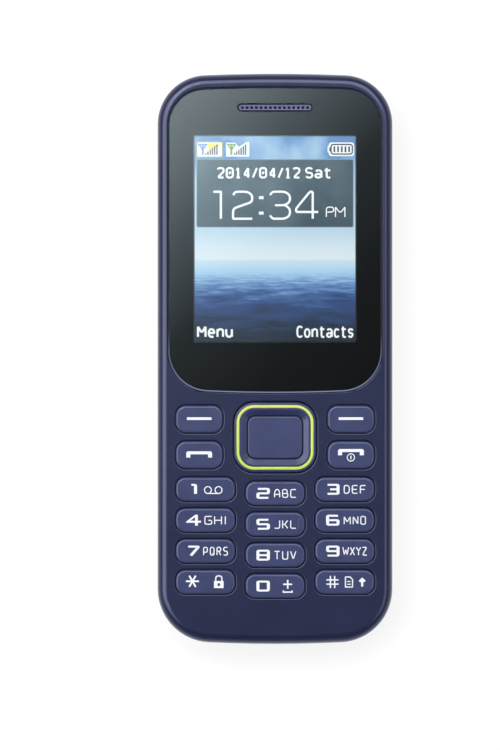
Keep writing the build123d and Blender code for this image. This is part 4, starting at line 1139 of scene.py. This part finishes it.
def add_floor():
    """A pale floor just under the back of the phone."""
    material, tree, shader = new_material(
        "pale_floor", Base_Color=linear("#7E7E7E"), Roughness=0.9, Emission_Color=linear("#FFFFFF")
    )
    white_to_eye(tree, shader, FLOOR_WHITE)
    place = (0, 0, cad_box[0].z - FLOOR_GAP)
    floor = add_sheet("floor", FLOOR_WIDTH, FLOOR_WIDTH, place, material)


def add_card():
    """A lit card high above the camera, brightest at its upper left, which the window mirrors."""
    card = bpy.data.materials.new("graded_card")
    card.use_nodes = True
    tree = card.node_tree
    tree.nodes.clear()
    place = add_node(tree, "TexCoord").outputs["Object"]
    axes = add_node(tree, "SeparateXYZ", {"Vector": place}).outputs
    slant = add_node(tree, "Math", {0: axes["X"], 1: axes["Y"]}, operation="SUBTRACT")
    down = add_node(tree, "MapRange", {"Value": slant, "From Min": -CARD_REACH, "From Max": CARD_REACH})
    stops = (
        (0.0, "#C6DAE2"),
        (0.15, "#A9BAC1"),
        (0.3, "#7E8C93"),
        (0.5, "#484F54"),
        (0.75, "#313537"),
        (1.0, "#292B2C"),
    )
    shade = add_node(tree, "ValToRGB", {"Fac": down}, stops)
    glow = add_node(tree, "Emission", {"Color": shade, "Strength": CARD_STRENGTH})
    add_node(tree, "OutputMaterial", {"Surface": glow})
    add_sheet("graded_card", *CARD_SIZE, CARD_PLACE, card)


def add_lamp(name, from_top, around, size, power):
    """A soft rectangular lamp that faces the phone, placed by its angles in degrees."""
    tilt, turn = radians(from_top), radians(around)
    place = LAMP_REACH * Vector((sin(tilt) * cos(turn), sin(tilt) * sin(turn), cos(tilt)))
    lamp = bpy.data.lights.new(name, "AREA")
    lamp.shape = "RECTANGLE"
    lamp.size, lamp.size_y = size
    lamp.energy = power
    holder = bpy.data.objects.new(name, lamp)
    holder.location = place
    holder.rotation_mode = "QUATERNION"
    holder.rotation_quaternion = (-place).to_track_quat("-Z", "Y")
    bpy.context.collection.objects.link(holder)


def add_lights():
    """Wide soft panels high at the left and behind the top end, and a weaker one at the right."""
    add_lamp("left_panel", 32, 168, (0.8, 0.66), 5.2)
    add_lamp("top_panel", 27, 88, (0.8, 0.5), 4.2)
    add_lamp("right_strip", 30, 0, (0.7, 0.4), 1.2)


def add_world():
    """A dim studio that is darkest overhead, so that flat tops stay deep in tone."""
    world = bpy.data.worlds.new("studio")
    world.use_nodes = True
    tree = world.node_tree
    tree.nodes.clear()
    place = add_node(tree, "TexCoord").outputs["Generated"]
    height = add_node(tree, "SeparateXYZ", {"Vector": place}).outputs["Z"]
    stops = ((0.0, "#C8CCD6"), (0.3, "#B4B8C2"), (0.6, "#6A6C70"), (0.8, "#525355"), (1.0, "#505050"))
    shade = add_node(tree, "ValToRGB", {"Fac": height}, stops)
    back = add_node(tree, "Background", {"Color": shade, "Strength": 1.0})
    add_node(tree, "OutputWorld", {"Surface": back})
    bpy.context.scene.world = world


def add_camera():
    """The camera looks straight down on the front, framed as in the photograph."""
    low, high = cad_box
    metres_per_px = (high.x - low.x) / PHONE_WIDTH_PX
    centre = (low + high) / 2
    across = (IMAGE_WIDTH_PX / 2 - PHONE_CENTRE_X_PX) * metres_per_px
    up = (PHONE_CENTRE_Y_PX - IMAGE_HEIGHT_PX / 2) * metres_per_px
    lens = bpy.data.cameras.new("camera")
    lens.sensor_width = SENSOR
    lens.lens = SENSOR * CAMERA_HEIGHT * MM / (IMAGE_HEIGHT_PX * metres_per_px)
    lens.clip_start, lens.clip_end = CLIP_NEAR, CLIP_FAR
    camera = bpy.data.objects.new("camera", lens)
    camera.location = (centre.x + across, centre.y + up, high.z + (CAMERA_HEIGHT - FRAMED_DEPTH) * MM)
    bpy.context.collection.objects.link(camera)
    bpy.context.scene.camera = camera


add_floor()
add_world()
add_lights()
add_card()
add_camera()
dress_nodes()
white_ink = screen_print("white_ink", "#E6E8EC", "#EFF1F4", 0.4)
add_number_prints(white_ink)
add_star_print(white_ink)
add_hash_print(white_ink)
add_side_prints(white_ink)
add_bevel()
add_picture()
bpy.context.scene.view_settings.view_transform = "Standard"
